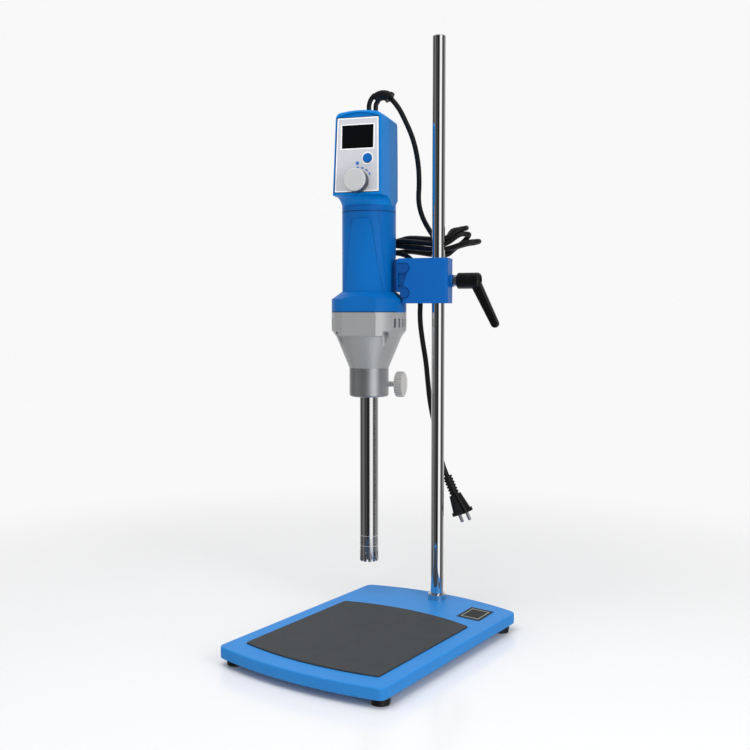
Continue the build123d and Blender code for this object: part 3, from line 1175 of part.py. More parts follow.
def panel_outline(gap, crown=0.0):
    low, high = up_slope(PANEL_BOTTOM) - gap, up_slope(PANEL_TOP) + gap
    low_half, high_half = PANEL_BOTTOM_HALF + gap, PANEL_TOP_HALF + gap
    if not crown:
        face = Face(Wire(Polyline((-low_half, low), (low_half, low), (high_half, high),
                                  (-high_half, high), close=True).edges()))
        return fillet(face.vertices(), 1.5)
    face = Face(Wire([
        Line((-low_half, low), (low_half, low)).edge(),
        Line((low_half, low), (high_half, high)).edge(),
        ThreePointArc((high_half, high), (0, high + crown), (-high_half, high)).edge(),
        Line((-high_half, high), (-low_half, low)).edge()]))
    return fillet(face.vertices(), 1.5)


def shell_screw_places():
    x = BOX_TOP_HALF - BOX_WALL - SHELL_SCREW_INSET
    heights = (BOX_BOTTOM + SHELL_SCREW_LOW, BOX_TOP - SHELL_SCREW_HIGH)
    return [(side * x, z) for side in (-1, 1) for z in heights]


def control_front():
    """Front shell with the pocket for the panel."""
    body = box_front_block(0, 0)
    hollow = box_front_block(BOX_WALL, FRONT_WALL)
    for x, z in shell_screw_places():
        hollow -= along_y(SHELL_SCREW_HEAD / 2 + 1.2, -2 * BOX_FRONT_BOTTOM, BOX_REAR, x, z)
    body -= hollow
    body &= chin()
    body -= on_front(panel_outline(PANEL_POCKET_MARGIN, PANEL_POCKET_CROWN), -PANEL_POCKET_DEPTH, 8)
    window = Pos(0, up_slope(WINDOW_TOP - WINDOW_HEIGHT / 2)) * Rectangle(
        WINDOW_WIDTH - 3, WINDOW_HEIGHT - 3)
    body -= on_front(window, -FRONT_WALL - 1, 0)
    button = BUTTON_DIAMETER / 2 + FREE_GAP
    body -= front_disc(button, BUTTON_X, BUTTON_HEIGHT, -FRONT_WALL - 1, 0)
    neck = ENCODER_NECK_DIAMETER / 2 + SEAT_FIT
    body -= front_disc(neck, KNOB_X, KNOB_HEIGHT, -FRONT_WALL - 1, 0)
    for x, z in shell_screw_places():
        body -= along_y(SHELL_SCREW_DIAMETER / 2 + SEAT_FIT, SHELL_SCREW_SEAT - SHELL_SCREW_LENGTH - 1,
                        0, x, z)
    for pillar in standoffs():
        body += pillar
    return body


def control_rear():
    """Rear shell, with the screw tubes and the seat of the strain relief."""
    body = box_rear_block(0)
    hollow = box_rear_block(BOX_WALL)
    for x, z in shell_screw_places():
        hollow -= along_y(SHELL_SCREW_HEAD / 2 + 1.8, -SHELL_SPLIT, BOX_REAR, x, z)
    body -= hollow
    body &= chin()
    for x, z in shell_screw_places():
        body -= along_y(SHELL_SCREW_DIAMETER / 2 + SEAT_FIT, -SHELL_SPLIT, SHELL_SCREW_SEAT, x, z)
        body -= along_y(SHELL_SCREW_HEAD / 2 + 0.3, SHELL_SCREW_SEAT, BOX_REAR + 1, x, z)
    body -= upright(BOOT_FOOT_RADIUS + SEAT_FIT, BOX_TOP - BOX_CROWN - BOOT_FOOT_HEIGHT / 2,
                    BOX_TOP + 5, boot_start_x(), BOOT_Y)
    body -= upright(CORD_DIAMETER / 2, BOX_TOP - 12, BOX_TOP, boot_start_x(), BOOT_Y)
    return body


def shell_screws():
    screws = []
    for x, z in shell_screw_places():
        head = along_y(SHELL_SCREW_HEAD / 2, SHELL_SCREW_SEAT, SHELL_SCREW_SEAT + 2.5, x, z)
        shank = along_y(SHELL_SCREW_DIAMETER / 2, SHELL_SCREW_SEAT - SHELL_SCREW_LENGTH,
                        SHELL_SCREW_SEAT, x, z)
        slot = block((x - 0.4, x + 0.4), (SHELL_SCREW_SEAT + 1.5, SHELL_SCREW_SEAT + 3), (z - 2, z + 2))
        screws.append(head + shank - slot)
    return screws


def window_outline(grow=0.0):
    return Pos(0, up_slope(WINDOW_TOP - WINDOW_HEIGHT / 2)) * Rectangle(
        WINDOW_WIDTH + 2 * grow, WINDOW_HEIGHT + 2 * grow)


def panel_fascia():
    low = -PANEL_POCKET_DEPTH
    body = on_front(panel_outline(0), low, PANEL_FACE)
    body -= on_front(window_outline(SEAT_FIT), PANEL_FACE - WINDOW_THICKNESS, 0)
    body -= on_front(window_outline(-1.5), low, 0)
    body -= front_disc(BUTTON_DIAMETER / 2 + FREE_GAP, BUTTON_X, BUTTON_HEIGHT, low, 0)
    return body - front_disc(ENCODER_NECK_DIAMETER / 2 + SEAT_FIT, KNOB_X, KNOB_HEIGHT, low, 0)


def display_window():
    return on_front(window_outline(), PANEL_FACE - WINDOW_THICKNESS, PANEL_FACE)


def display_module():
    start = -FRONT_WALL - MODULE_THICKNESS
    return on_front(window_outline(MODULE_MARGIN), start, -FRONT_WALL)


def control_board():
    low, high = up_slope(BOX_BOTTOM + BOX_WALL + BOARD_MARGIN), up_slope(BOX_TOP - 22)
    width = 2 * (BOX_TOP_HALF - BOX_WALL - BOARD_MARGIN - 3)
    face = Pos(0, (low + high) / 2) * RectangleRounded(width, high - low, 2)
    body = on_front(face, -BOARD_OFFSET - BOARD_THICKNESS, -BOARD_OFFSET)
    for x, z in shell_screw_places():
        body -= along_y(SHELL_SCREW_HEAD / 2 + 1.6, -2 * BOX_FRONT_BOTTOM, 0, x, z)
    return body


def standoffs():
    """Pillars that hold the board and the display behind the front wall."""
    x = BOX_TOP_HALF - BOX_WALL - BOARD_MARGIN - 6
    places = [(-x, WINDOW_TOP - WINDOW_HEIGHT - 8), (x - 14, WINDOW_TOP - WINDOW_HEIGHT - 6),
              (-x, BOX_BOTTOM + 20), (x, BOX_BOTTOM + 20)]
    return [front_disc(STANDOFF_RADIUS, px, pz, -BOARD_OFFSET, -FRONT_WALL + 0.5) for px, pz in places]


def start_button():
    radius = BUTTON_DIAMETER / 2
    cap = front_disc(radius, BUTTON_X, BUTTON_HEIGHT, -FRONT_WALL - 1.4, PANEL_FACE + BUTTON_PROUD)
    rims = cap.edges().filter_by(GeomType.CIRCLE).sort_by(Axis.Y)
    cap = fillet(rims[0], 0.6)
    collar = front_disc(radius + 1.4, BUTTON_X, BUTTON_HEIGHT, -FRONT_WALL - 1.4, -FRONT_WALL - 0.2)
    stem = front_disc(BUTTON_STEM_DIAMETER / 2, BUTTON_X, BUTTON_HEIGHT, -switch_top() + 0.3,
                      -FRONT_WALL)
    return cap + collar + stem


def switch_top():
    """Depth of the switch's top behind the rim plane; the button's stem ends above it."""
    return BOARD_OFFSET - 2.6


def button_switch():
    """Switch body with a well that the button's stem moves in."""
    face = Pos(BUTTON_X, up_slope(BUTTON_HEIGHT)) * Rectangle(7, 7)
    body = on_front(face, -BOARD_OFFSET, -switch_top() + 1.0)
    well = front_disc(BUTTON_STEM_DIAMETER / 2 + FREE_GAP, BUTTON_X, BUTTON_HEIGHT,
                      -switch_top() + 0.3 - BUTTON_TRAVEL - 0.2, 0)
    return body - well


def encoder_body():
    face = Pos(KNOB_X, up_slope(KNOB_HEIGHT)) * Rectangle(ENCODER_SIZE, ENCODER_SIZE)
    body = on_front(face, -BOARD_OFFSET, -BOARD_OFFSET + ENCODER_DEPTH)
    body += front_disc(ENCODER_NECK_DIAMETER / 2, KNOB_X, KNOB_HEIGHT, -BOARD_OFFSET + ENCODER_DEPTH,
                       PANEL_FACE + 1.0)
    return body - front_disc(ENCODER_SHAFT_DIAMETER / 2 + RUN_FIT, KNOB_X, KNOB_HEIGHT,
                             -BOARD_OFFSET + 1.0, 5)


def encoder_shaft():
    return front_disc(ENCODER_SHAFT_DIAMETER / 2, KNOB_X, KNOB_HEIGHT, -BOARD_OFFSET + 1.3,
                      PANEL_FACE + KNOB_DEPTH - 4)


def speed_knob():
    """Hollow knob with a fluted rim on the encoder's shaft."""
    radius = KNOB_DIAMETER / 2
    start, end = PANEL_FACE + 0.8, PANEL_FACE + KNOB_DEPTH
    cap = front_disc(radius, KNOB_X, KNOB_HEIGHT, start, end)
    rims = cap.edges().filter_by(GeomType.CIRCLE).sort_by(Axis.Y)
    cap = fillet(rims[0], 1.5)
    v = up_slope(KNOB_HEIGHT)
    for i in range(KNOB_FLUTES):
        angle = 2 * pi * i / KNOB_FLUTES
        place = Pos(KNOB_X + radius * cos(angle), v + radius * sin(angle))
        cap -= on_front(place * Circle(KNOB_FLUTE_RADIUS), start, end - 3.0)
    cap -= front_disc(radius - 2.5, KNOB_X, KNOB_HEIGHT, start, end - 3.5)
    cap += front_disc(ENCODER_SHAFT_DIAMETER / 2 + 2.0, KNOB_X, KNOB_HEIGHT, PANEL_FACE + 1.8, end - 3)
    return cap - front_disc(ENCODER_SHAFT_DIAMETER / 2 + SEAT_FIT, KNOB_X, KNOB_HEIGHT, start,
                            PANEL_FACE + KNOB_DEPTH - 3.9)


# ------------------------------------------------------------------ strain relief, lead and plug
def boot_start_x():
    """Where the strain relief leaves the box, from the tool's axis."""
    return BOOT_CENTRE_X - BOOT_BEND_RADIUS - HEAD_X


def bend_point(angle, radius):
    """Point of the strain relief's bend, arm frame; the angle counts from the bend's top."""
    a = radians(angle)
    return (BOOT_CENTRE_X + radius * sin(a), BOOT_Y, BOOT_CENTRE_HEIGHT + radius * cos(a))


def bend_section(angle, radius, size):
    a = radians(angle)
    place = Plane(origin=bend_point(angle, radius), x_dir=(0, 1, 0), z_dir=(cos(a), 0, -sin(a)))
    return place * Circle(size)


def boot_torus(bend, size, first, last):
    """Stretch of a round ring about the bend's centre, between two angles from its top."""
    centre = Axis((BOOT_CENTRE_X, BOOT_Y, BOOT_CENTRE_HEIGHT), (0, 1, 0))
    return revolve(bend_section(first, bend, size), centre, last - first)


def cord_boot():
    """Strain relief: two limbs that merge into one bent sleeve with a ring at its end."""
    body = boot_torus(BOOT_BEND_RADIUS, BOOT_RADIUS, BOOT_MERGE_ANGLE, BOOT_END_ANGLE)
    start = body.edges().filter_by(GeomType.CIRCLE).sort_by(Axis.X)[0]
    body = fillet(start, BOOT_RADIUS / 2)
    ring_angle = degrees(BOOT_RING_WIDTH / BOOT_BEND_RADIUS)
    body += boot_torus(BOOT_BEND_RADIUS, BOOT_RING_RADIUS, BOOT_END_ANGLE - ring_angle, BOOT_END_ANGLE)
    for offset in (-BOOT_LIMB_OFFSET, BOOT_LIMB_OFFSET):
        limb_bend = BOOT_BEND_RADIUS + offset
        body += boot_torus(limb_bend, BOOT_LIMB_RADIUS, -90, BOOT_MERGE_ANGLE + BOOT_LIMB_OVERLAP)
        body += upright(BOOT_LIMB_RADIUS, BOX_TOP - BOX_CROWN, BOOT_CENTRE_HEIGHT,
                        BOOT_CENTRE_X - limb_bend, BOOT_Y)
    foot_bottom = BOX_TOP - BOX_CROWN - BOOT_FOOT_HEIGHT / 2
    return body + upright(BOOT_FOOT_RADIUS, foot_bottom, BOX_TOP + BOOT_FOOT_HEIGHT / 2,
                          HEAD_X + boot_start_x(), BOOT_Y)


def corner_radii(points):
    """The largest arc at each corner that its two runs leave room for."""
    radii = []
    for before, here, after in zip(points, points[1:], points[2:]):
        first = Vector(*here) - Vector(*before)
        second = Vector(*after) - Vector(*here)
        turn = radians(first.get_angle(second))
        shorter = min(first.length, second.length)
        radii.append(RUN_SHARE * shorter / tan(turn / 2))
    return radii


def cord_tube(name, points):
    """Round tube along straight runs joined by tangent arcs."""
    radii = corner_radii(points)
    path = FilletPolyline(*points, radius=radii)
    section = Plane(origin=path @ 0, z_dir=path % 0) * Circle(CORD_DIAMETER / 2)
    tube = sweep(section, path=path)
    expected = pi * (CORD_DIAMETER / 2) ** 2 * path.length
    print(f"{name}: length {path.length:.1f}, volume / (section x length) "
          f"{tube.volume / expected:.4f}, radii {[round(r, 1) for r in radii]}")
    return tube


def cord_lead():
    end = bend_point(BOOT_END_ANGLE, BOOT_BEND_RADIUS)
    return cord_tube("cord_lead", [end] + LEAD_POINTS)


def cord_tail():
    return cord_tube("cord_tail", TAIL_POINTS)


def hank_plan(grow, bottom, top):
    """Upright prism on the hank's plan: two legs that meet in the waist behind the rod."""
    plan = Sketch()
    waist = Pos(*HANK_WAIST[:2]) * Circle(HANK_WAIST[2] + grow)
    for leg in (HANK_LEFT, HANK_RIGHT):
        end = Pos(*leg[:2]) * Circle(leg[2] + grow)
        plan += make_hull(waist.edges() + end.edges())
    return Pos(0, 0, bottom) * extrude(plan, amount=top - bottom)


def cord_hank():
    """Outer shape of the wound-up lead behind the rod."""
    outline = Face(Wire(Polyline(*HANK_UNDERSIDE, *HANK_TOPSIDE, close=True).edges()))
    outline = Plane.XZ * fillet(outline.vertices(), HANK_CORNER)
    reach = 2 * HANK_LEFT[1]
    low, high = HANK_UNDERSIDE[2][1], HANK_TOPSIDE[1][1]
    return hank_plan(0, low, high) & extrude(outline, amount=reach, both=True)


def cord_tie():
    """Strap round the hank's waist."""
    low = HANK_UNDERSIDE[2][1] - TIE_THICKNESS
    high = HANK_TOPSIDE[3][1] + TIE_THICKNESS
    reach = HANK_WAIST[1] + 2 * HANK_WAIST[2]
    slab = block((-TIE_WIDTH / 2, TIE_WIDTH / 2), (0, reach), (low, high))
    return (hank_plan(TIE_THICKNESS, low, high) & slab) - cord_hank()


def plug_plane(distance):
    """Plane square to the plug's axis, with X along the row of pins."""
    drop = radians(PLUG_DROP)
    axis = Vector(cos(drop), 0, -sin(drop))
    across = Vector(sin(drop), 0, cos(drop))
    roll = radians(PLUG_ROLL)
    row = across * cos(roll) + Vector(0, 1, 0) * sin(roll)
    start = Vector(*TAIL_POINTS[-1]) + axis * distance
    return Plane(origin=start, x_dir=row, z_dir=axis)


def plug_sleeve():
    """Ribbed strain relief on the plug."""
    step = SLEEVE_LENGTH / (2 * SLEEVE_RIBS)
    body = extrude(plug_plane(0) * Circle(SLEEVE_NECK_RADIUS), amount=SLEEVE_LENGTH)
    for i in range(SLEEVE_RIBS):
        rib = plug_plane(2 * i * step) * Circle(SLEEVE_RADIUS)
        body += extrude(rib, amount=step)
    return body


def plug_body():
    start = SLEEVE_LENGTH
    end = start + PLUG_BODY_LENGTH
    sections = [plug_plane(start) * RectangleRounded(2 * SLEEVE_RADIUS + 2, 2 * SLEEVE_RADIUS, 4),
                plug_plane(end) * RectangleRounded(PLUG_BODY_WIDTH, PLUG_BODY_DEPTH, 4)]
    body = loft(sections)
    flange = plug_plane(end) * RectangleRounded(PLUG_FLANGE_WIDTH, PLUG_FLANGE_DEPTH, 5)
    body += extrude(flange, amount=PLUG_FLANGE_LENGTH)
    for side in (-1, 1):
        hole = plug_plane(end + PLUG_FLANGE_LENGTH - PIN_ROOT) * (
            Pos(side * PIN_SPACING / 2, 0) * Circle(PIN_DIAMETER / 2 + SEAT_FIT))
        body -= extrude(hole, amount=PIN_ROOT + 1)
    return body


def plug_pins():
    pins = []
    start = SLEEVE_LENGTH + PLUG_BODY_LENGTH + PLUG_FLANGE_LENGTH - PIN_ROOT
    for side in (-1, 1):
        foot = plug_plane(start) * (Pos(side * PIN_SPACING / 2, 0) * Circle(PIN_DIAMETER / 2))
        pin = extrude(foot, amount=PIN_ROOT + PIN_LENGTH)
        far = plug_plane(start + PIN_ROOT + PIN_LENGTH)
        tip = [e for e in pin.edges().filter_by(GeomType.CIRCLE)
               if abs(far.to_local_coords(e.center()).Z) < 0.1]
        pins.append(fillet(tip, PIN_DIAMETER / 4))
    return pins


# ------------------------------------------------------------------ assembly
def to_row(frame):
    """Place of a modelling frame in the row frame."""
    lift = Pos(-ORIGIN_X, -ORIGIN_Y, -FLOOR)
    arm = lift * Pos(0, ROD_Y, 0) * Rot(0, 0, ARM_SWING)
    return {"stand": lift, "arm": arm, "head": arm * Pos(HEAD_X, 0, 0)}[frame]


STAND = [base_plate, work_mat, rubber_feet, foot_screws, support_rod, rod_collar, rod_screw]
ARM = [rod_bush, clamp_block, head_bracket, bracket_screws, pressure_pad, lever_stud, lever_screw,
       lever_spring, lever_handle, cord_boot, cord_lead, cord_hank, cord_tie, cord_tail, plug_sleeve,
       plug_body, plug_pins]
HEAD = [motor_barrel, grip_pad, flange_ring, field_core, field_windings, motor_shaft, armature_core,
        commutator, carbon_brushes, brush_holders, brush_springs, upper_bearing, lower_bearing,
        cooling_fan, drive_coupling, nose_housing, nose_screws, tool_holder, thumb_screw, tool_tube,
        stator_head, rotor, rotor_shaft, tool_bushes, control_front, control_rear, shell_screws,
        panel_fascia, display_window, display_module, control_board, start_button,
        button_switch, encoder_body, encoder_shaft, speed_knob]


def as_solids(made):
    """Plain list of solids of whatever a piece's function returns."""
    shapes = made if isinstance(made, (list, tuple)) else [made]
    return [solid for shape in shapes for solid in shape.solids()]


def main():
    os.makedirs("parts", exist_ok=True)
    for frame, makers in (("stand", STAND), ("arm", ARM), ("head", HEAD)):
        place = to_row(frame)
        for make in makers:
            solids = [place * solid for solid in as_solids(make())]
            shape = solids[0] if len(solids) == 1 else Compound(children=solids)
            shape.label = make.__name__
            export_step(shape, f"parts/{make.__name__}.step")
    names = [m.__name__ for m in STAND + ARM + HEAD]
    print(len(names), "nodes")


main()
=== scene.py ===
"""Looks of the rotor stator homogenizer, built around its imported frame. Lengths are in metres."""
import json
import math

import bpy
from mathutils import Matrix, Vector


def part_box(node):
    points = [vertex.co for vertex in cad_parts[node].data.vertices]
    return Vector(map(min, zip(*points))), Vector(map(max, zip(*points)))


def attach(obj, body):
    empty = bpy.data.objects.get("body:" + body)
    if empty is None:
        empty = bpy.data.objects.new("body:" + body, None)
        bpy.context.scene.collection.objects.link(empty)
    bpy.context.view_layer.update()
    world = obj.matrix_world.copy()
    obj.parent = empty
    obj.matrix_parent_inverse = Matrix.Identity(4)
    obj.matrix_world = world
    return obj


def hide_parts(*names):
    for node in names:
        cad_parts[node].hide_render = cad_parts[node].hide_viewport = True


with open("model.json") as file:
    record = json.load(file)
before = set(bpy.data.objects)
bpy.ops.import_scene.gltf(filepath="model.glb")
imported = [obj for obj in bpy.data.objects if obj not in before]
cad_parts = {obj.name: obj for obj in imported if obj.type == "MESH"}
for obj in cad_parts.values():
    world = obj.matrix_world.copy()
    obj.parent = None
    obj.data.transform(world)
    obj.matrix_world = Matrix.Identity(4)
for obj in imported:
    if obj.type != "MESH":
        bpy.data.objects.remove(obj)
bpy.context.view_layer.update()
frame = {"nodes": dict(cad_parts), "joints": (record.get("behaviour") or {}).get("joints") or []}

NODES = frame["nodes"]
MM = 0.001

# ------------------------------------------------------------------ places taken from the frame
def middle(node):
    low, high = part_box(node)
    return (Vector(low) + Vector(high)) / 2


JOINTS = {joint["name"]: joint for joint in frame["joints"]}
ROD = middle("support_rod")
PLATE_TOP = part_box("rod_collar")[0][2]
HEAD_FOOT = Vector((*middle("motor_shaft").xy, PLATE_TOP))      # under the tool's axis
ARM_X = Vector(JOINTS["lever_turn"]["axis"]).normalized()       # from the rod towards the lever
ARM_Y = Vector((0, 0, 1)).cross(ARM_X)                          # away from the user
PANEL_OUT = Vector(JOINTS["speed_knob_turn"]["axis"]).normalized()
PANEL_UP = PANEL_OUT.cross(ARM_X)
KNOB_AXIS = Vector(JOINTS["speed_knob_turn"]["pos_m"])
PANEL_REACH = max(vertex.co @ PANEL_OUT for vertex in NODES["panel_fascia"].data.vertices)
PANEL_POINT = KNOB_AXIS + PANEL_OUT * (PANEL_REACH - KNOB_AXIS @ PANEL_OUT)    # knob's middle, on it


def arm(x, y, z):
    """Point given in millimetres along the arm, behind it, and above the base plate."""
    place = Vector((ROD.x, ROD.y, PLATE_TOP))
    return place + (ARM_X * x + ARM_Y * y + Vector((0, 0, z))) * MM


# ------------------------------------------------------------------ camera, world and lamps
CAMERA_PLACE = (0.5743, -0.83065, 0.3530)
CAMERA_YAW = 34.18
CAMERA_PITCH = -3.63
LENS = 46.05
SENSOR = 36.0


def add_camera():
    data = bpy.data.cameras.new("camera")
    data.lens, data.sensor_width = LENS, SENSOR
    data.clip_start = 0.01
    camera = bpy.data.objects.new("camera", data)
    camera.location = CAMERA_PLACE
    camera.rotation_euler = (math.radians(90 + CAMERA_PITCH), 0, math.radians(CAMERA_YAW))
    bpy.context.scene.collection.objects.link(camera)
    bpy.context.scene.camera = camera


SOFT_LEVEL = 0.54
SOFT_COLOUR = (0.98, 0.99, 1.0)
BACKDROP = 0.945
CAMERA_SIDE = -57.5                 # degrees from +X, direction from the object to the camera
STUDIO = [                          # degrees to the right of the camera, screen level in reflections
    (-180, 215), (-150, 200), (-128, 120), (-106, 60), (-96, 50), (-80, 125), (-64, 105),
    (-52, 48), (-34, 75), (-16, 26), (3, 40), (13, 225), (20, 255), (38, 255), (47, 215), (57, 60),
    (73, 42), (90, 118), (112, 135), (134, 178), (158, 220), (180, 215)]
STUDIO_GAIN = 1.15


def light(level):
    """Linear light for a screen level from 0 to 255."""
    share = level / 255
    return share / 12.92 if share <= 0.04045 else ((share + 0.055) / 1.055) ** 2.4


def srgb(r, g, b):
    """Linear colour from the 0 to 255 levels that a screen shows."""
    return light(r), light(g), light(b)


def math_node(tree, operation, *values):
    """Math node fed by numbers or sockets."""
    node = tree.nodes.new("ShaderNodeMath")
    node.operation = operation
    for socket, value in zip(node.inputs, values):
        if isinstance(value, bpy.types.NodeSocket):
            tree.links.new(value, socket)
        else:
            socket.default_value = value
    return node.outputs[0]


def add_world():
    """Soft white light, white behind the object, and a studio with dark flags in reflections."""
    world = bpy.data.worlds.new("studio")
    bpy.context.scene.world = world
    world.use_nodes = True
    tree = world.node_tree
    nodes, links = tree.nodes, tree.links
    nodes.clear()
    way = nodes.new("ShaderNodeSeparateXYZ")
    links.new(nodes.new("ShaderNodeTexCoord").outputs["Generated"], way.inputs[0])
    side = math_node(tree, "ARCTAN2", way.outputs["Y"], way.outputs["X"])
    side = math_node(tree, "SUBTRACT", side, math.radians(CAMERA_SIDE))
    turns = math_node(tree, "ADD", math_node(tree, "DIVIDE", side, 2 * math.pi), 0.5)
    ramp = nodes.new("ShaderNodeValToRGB")
    stops = ramp.color_ramp.elements
    while len(stops) < len(STUDIO):
        stops.new(0.5)
    for stop, (angle, value) in zip(stops, STUDIO):
        stop.position = angle / 360 + 0.5
        stop.color = (*srgb(value, value, value), 1)
    links.new(math_node(tree, "FRACT", turns), ramp.inputs["Fac"])
    soft, studio, shown = [nodes.new("ShaderNodeBackground") for _ in range(3)]
    soft.inputs["Color"].default_value = (*SOFT_COLOUR, 1)
    soft.inputs["Strength"].default_value = SOFT_LEVEL
    links.new(ramp.outputs["Color"], studio.inputs["Color"])
    studio.inputs["Strength"].default_value = STUDIO_GAIN
    shown.inputs["Color"].default_value = (BACKDROP, BACKDROP, BACKDROP, 1)
    path = nodes.new("ShaderNodeLightPath")
    glossy, seen = nodes.new("ShaderNodeMixShader"), nodes.new("ShaderNodeMixShader")
    links.new(path.outputs["Is Glossy Ray"], glossy.inputs[0])
    links.new(soft.outputs[0], glossy.inputs[1])
    links.new(studio.outputs[0], glossy.inputs[2])
    links.new(path.outputs["Is Camera Ray"], seen.inputs[0])
    links.new(glossy.outputs[0], seen.inputs[1])
    links.new(shown.outputs[0], seen.inputs[2])
    links.new(seen.outputs[0], nodes.new("ShaderNodeOutputWorld").inputs[0])


LAMPS = [                           # name, place, size, power in watts
    ("top_box", (-0.1, -0.35, 1.7), (1.2, 1.2), 15), ("left_box", (-1.1, -1.3, 0.9), (0.8, 1.4), 2.5),
    ("right_box", (1.7, -0.35, 0.8), (0.6, 1.4), 14)]
LAMP_TARGET = (0, 0, 0.3)
FLOOR_FADE = (0.34, 1.0)            # metres from the middle over which the floor turns into the sweep
FLOOR_REACH = 60.0


def add_lamp(name, place, size, power):
    data = bpy.data.lights.new(name, "AREA")
    data.shape, data.size, data.size_y, data.energy = "RECTANGLE", size[0], size[1], power
    lamp = bpy.data.objects.new(name, data)
    lamp.location = place
    aim = Vector(LAMP_TARGET) - Vector(place)
    lamp.rotation_euler = aim.to_track_quat("-Z", "Y").to_euler()
    lamp.visible_glossy = False
    bpy.context.scene.collection.objects.link(lamp)


def add_floor():
    """White floor with a faint mirror image, which turns into a lit sweep some way off."""
    mesh = bpy.data.meshes.new("floor")
    corners = [(x * FLOOR_REACH, y * FLOOR_REACH, 0) for x, y in ((-1, -1), (1, -1), (1, 1), (-1, 1))]
    mesh.from_pydata(corners, [], [(0, 1, 2, 3)])
    floor = bpy.data.objects.new("floor", mesh)
    material, node = shader("floor_white", (0.88, 0.88, 0.885), 0.16)
    node.inputs["Specular IOR Level"].default_value = 0.35
    tree = material.node_tree
    distance = tree.nodes.new("ShaderNodeVectorMath")
    distance.operation = "LENGTH"
    tree.links.new(object_space(material), distance.inputs[0])
    fade = tree.nodes.new("ShaderNodeMapRange")
    fade.interpolation_type = "SMOOTHSTEP"
    fade.inputs["From Min"].default_value, fade.inputs["From Max"].default_value = FLOOR_FADE
    tree.links.new(distance.outputs["Value"], fade.inputs["Value"])
    sweep = tree.nodes.new("ShaderNodeEmission")
    sweep.inputs["Color"].default_value = (BACKDROP, BACKDROP, BACKDROP, 1)
    mix = tree.nodes.new("ShaderNodeMixShader")
    tree.links.new(fade.outputs["Result"], mix.inputs[0])
    tree.links.new(node.outputs[0], mix.inputs[1])
    tree.links.new(sweep.outputs[0], mix.inputs[2])
    tree.links.new(mix.outputs[0], tree.nodes["Material Output"].inputs[0])
    floor.data.materials.append(material)
    floor.visible_glossy = False
    bpy.context.scene.collection.objects.link(floor)


# ------------------------------------------------------------------ materials
NOISE_REACH = (0.3, 0.7)            # most of a noise texture's values lie between these
UPRIGHT_RINGS = (0.02, 0.02, 1.0)   # stretches noise into rings round an upright part
NOSE_SHADE_REACH = 39.0                  # painted shade darkens the nose's inside, seen through its vents, within this radius
NOSE_MOUTH = 314.5                  # and above this height over the base plate
# colour of the painted shade inside the nose
INSIDE_SHADE = (20, 20, 22)
KNOB_REACH = 14.0                   # height of the knob's face over the panel
KNOB_BANDS = [                      # share of that height, screen levels: dark skirt, pale face
    (0.0, (66, 72, 82)), (0.90, (92, 97, 106)), (0.955, (214, 215, 217))]


def shader(name, colour, roughness, metallic=0.0):
    """New material and its Principled node."""
    material = bpy.data.materials.new(name)
    material.use_nodes = True
    node = material.node_tree.nodes["Principled BSDF"]
    node.inputs["Base Color"].default_value = (*colour, 1)
    node.inputs["Roughness"].default_value = roughness
    node.inputs["Metallic"].default_value = metallic
    return material, node


def plain(name, colour, roughness):
    return shader(name, colour, roughness)[0]


def object_space(material):
    return material.node_tree.nodes.new("ShaderNodeTexCoord").outputs["Object"]


def noise(material, vector, scale, detail=3.0, stretch=None):
    """Noise texture at a scale per metre, stretched along the axes if wanted."""
    tree = material.node_tree
    if stretch:
        mapping = tree.nodes.new("ShaderNodeMapping")
        mapping.inputs["Scale"].default_value = stretch
        tree.links.new(vector, mapping.inputs["Vector"])
        vector = mapping.outputs["Vector"]
    node = tree.nodes.new("ShaderNodeTexNoise")
    node.inputs["Scale"].default_value = scale
    node.inputs["Detail"].default_value = detail
    tree.links.new(vector, node.inputs["Vector"])
    return node.outputs["Fac"]


def spread(material, value, low, high):
    """Noise values spread between a low and a high number."""
    node = material.node_tree.nodes.new("ShaderNodeMapRange")
    node.inputs["From Min"].default_value, node.inputs["From Max"].default_value = NOISE_REACH
    node.inputs["To Min"].default_value, node.inputs["To Max"].default_value = low, high
    material.node_tree.links.new(value, node.inputs["Value"])
    return node.outputs["Result"]


def tint(material, node, value, colour, share):
    """Lets the base colour wander between darker and lighter by a share."""
    tree = material.node_tree
    ramp = tree.nodes.new("ShaderNodeValToRGB")
    dark, pale = ramp.color_ramp.elements
    dark.position, pale.position = NOISE_REACH
    dark.color = (*[c * (1 - share) for c in colour], 1)
    pale.color = (*[min(1, c * (1 + share)) for c in colour], 1)
    tree.links.new(value, ramp.inputs["Fac"])
    tree.links.new(ramp.outputs["Color"], node.inputs["Base Color"])


def bump(material, node, value, strength, distance):
    """Fine relief in the shading, from a value."""
    tree = material.node_tree
    relief = tree.nodes.new("ShaderNodeBump")
    relief.inputs["Strength"].default_value = strength
    relief.inputs["Distance"].default_value = distance
    tree.links.new(value, relief.inputs["Height"])
    tree.links.new(relief.outputs["Normal"], node.inputs["Normal"])


def finish(name, colour, roughness, metallic=0.0, tone=0.04, tone_scale=25, grain=900, relief=0.08,
           depth=0.00006, gloss=0.05, stretch=None, shine=0.5):
    """Moulded, painted or ground surface: slow tone changes, fine grain in gloss and relief."""
    material, node = shader(name, colour, roughness, metallic)
    space = object_space(material)
    tint(material, node, noise(material, space, tone_scale), colour, tone)
    fine = noise(material, space, grain, 4.0, stretch)
    rough = spread(material, fine, max(0.02, roughness - gloss), min(1, roughness + gloss))
    material.node_tree.links.new(rough, node.inputs["Roughness"])
    if relief:
        bump(material, node, fine, relief, depth)
    node.inputs["Specular IOR Level"].default_value = shine
    return material


def wear(node_name, material):
    """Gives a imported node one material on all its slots."""
    mesh = NODES[node_name].data
    if not mesh.materials:
        mesh.materials.append(material)
    for i in range(len(mesh.materials)):
        mesh.materials[i] = material


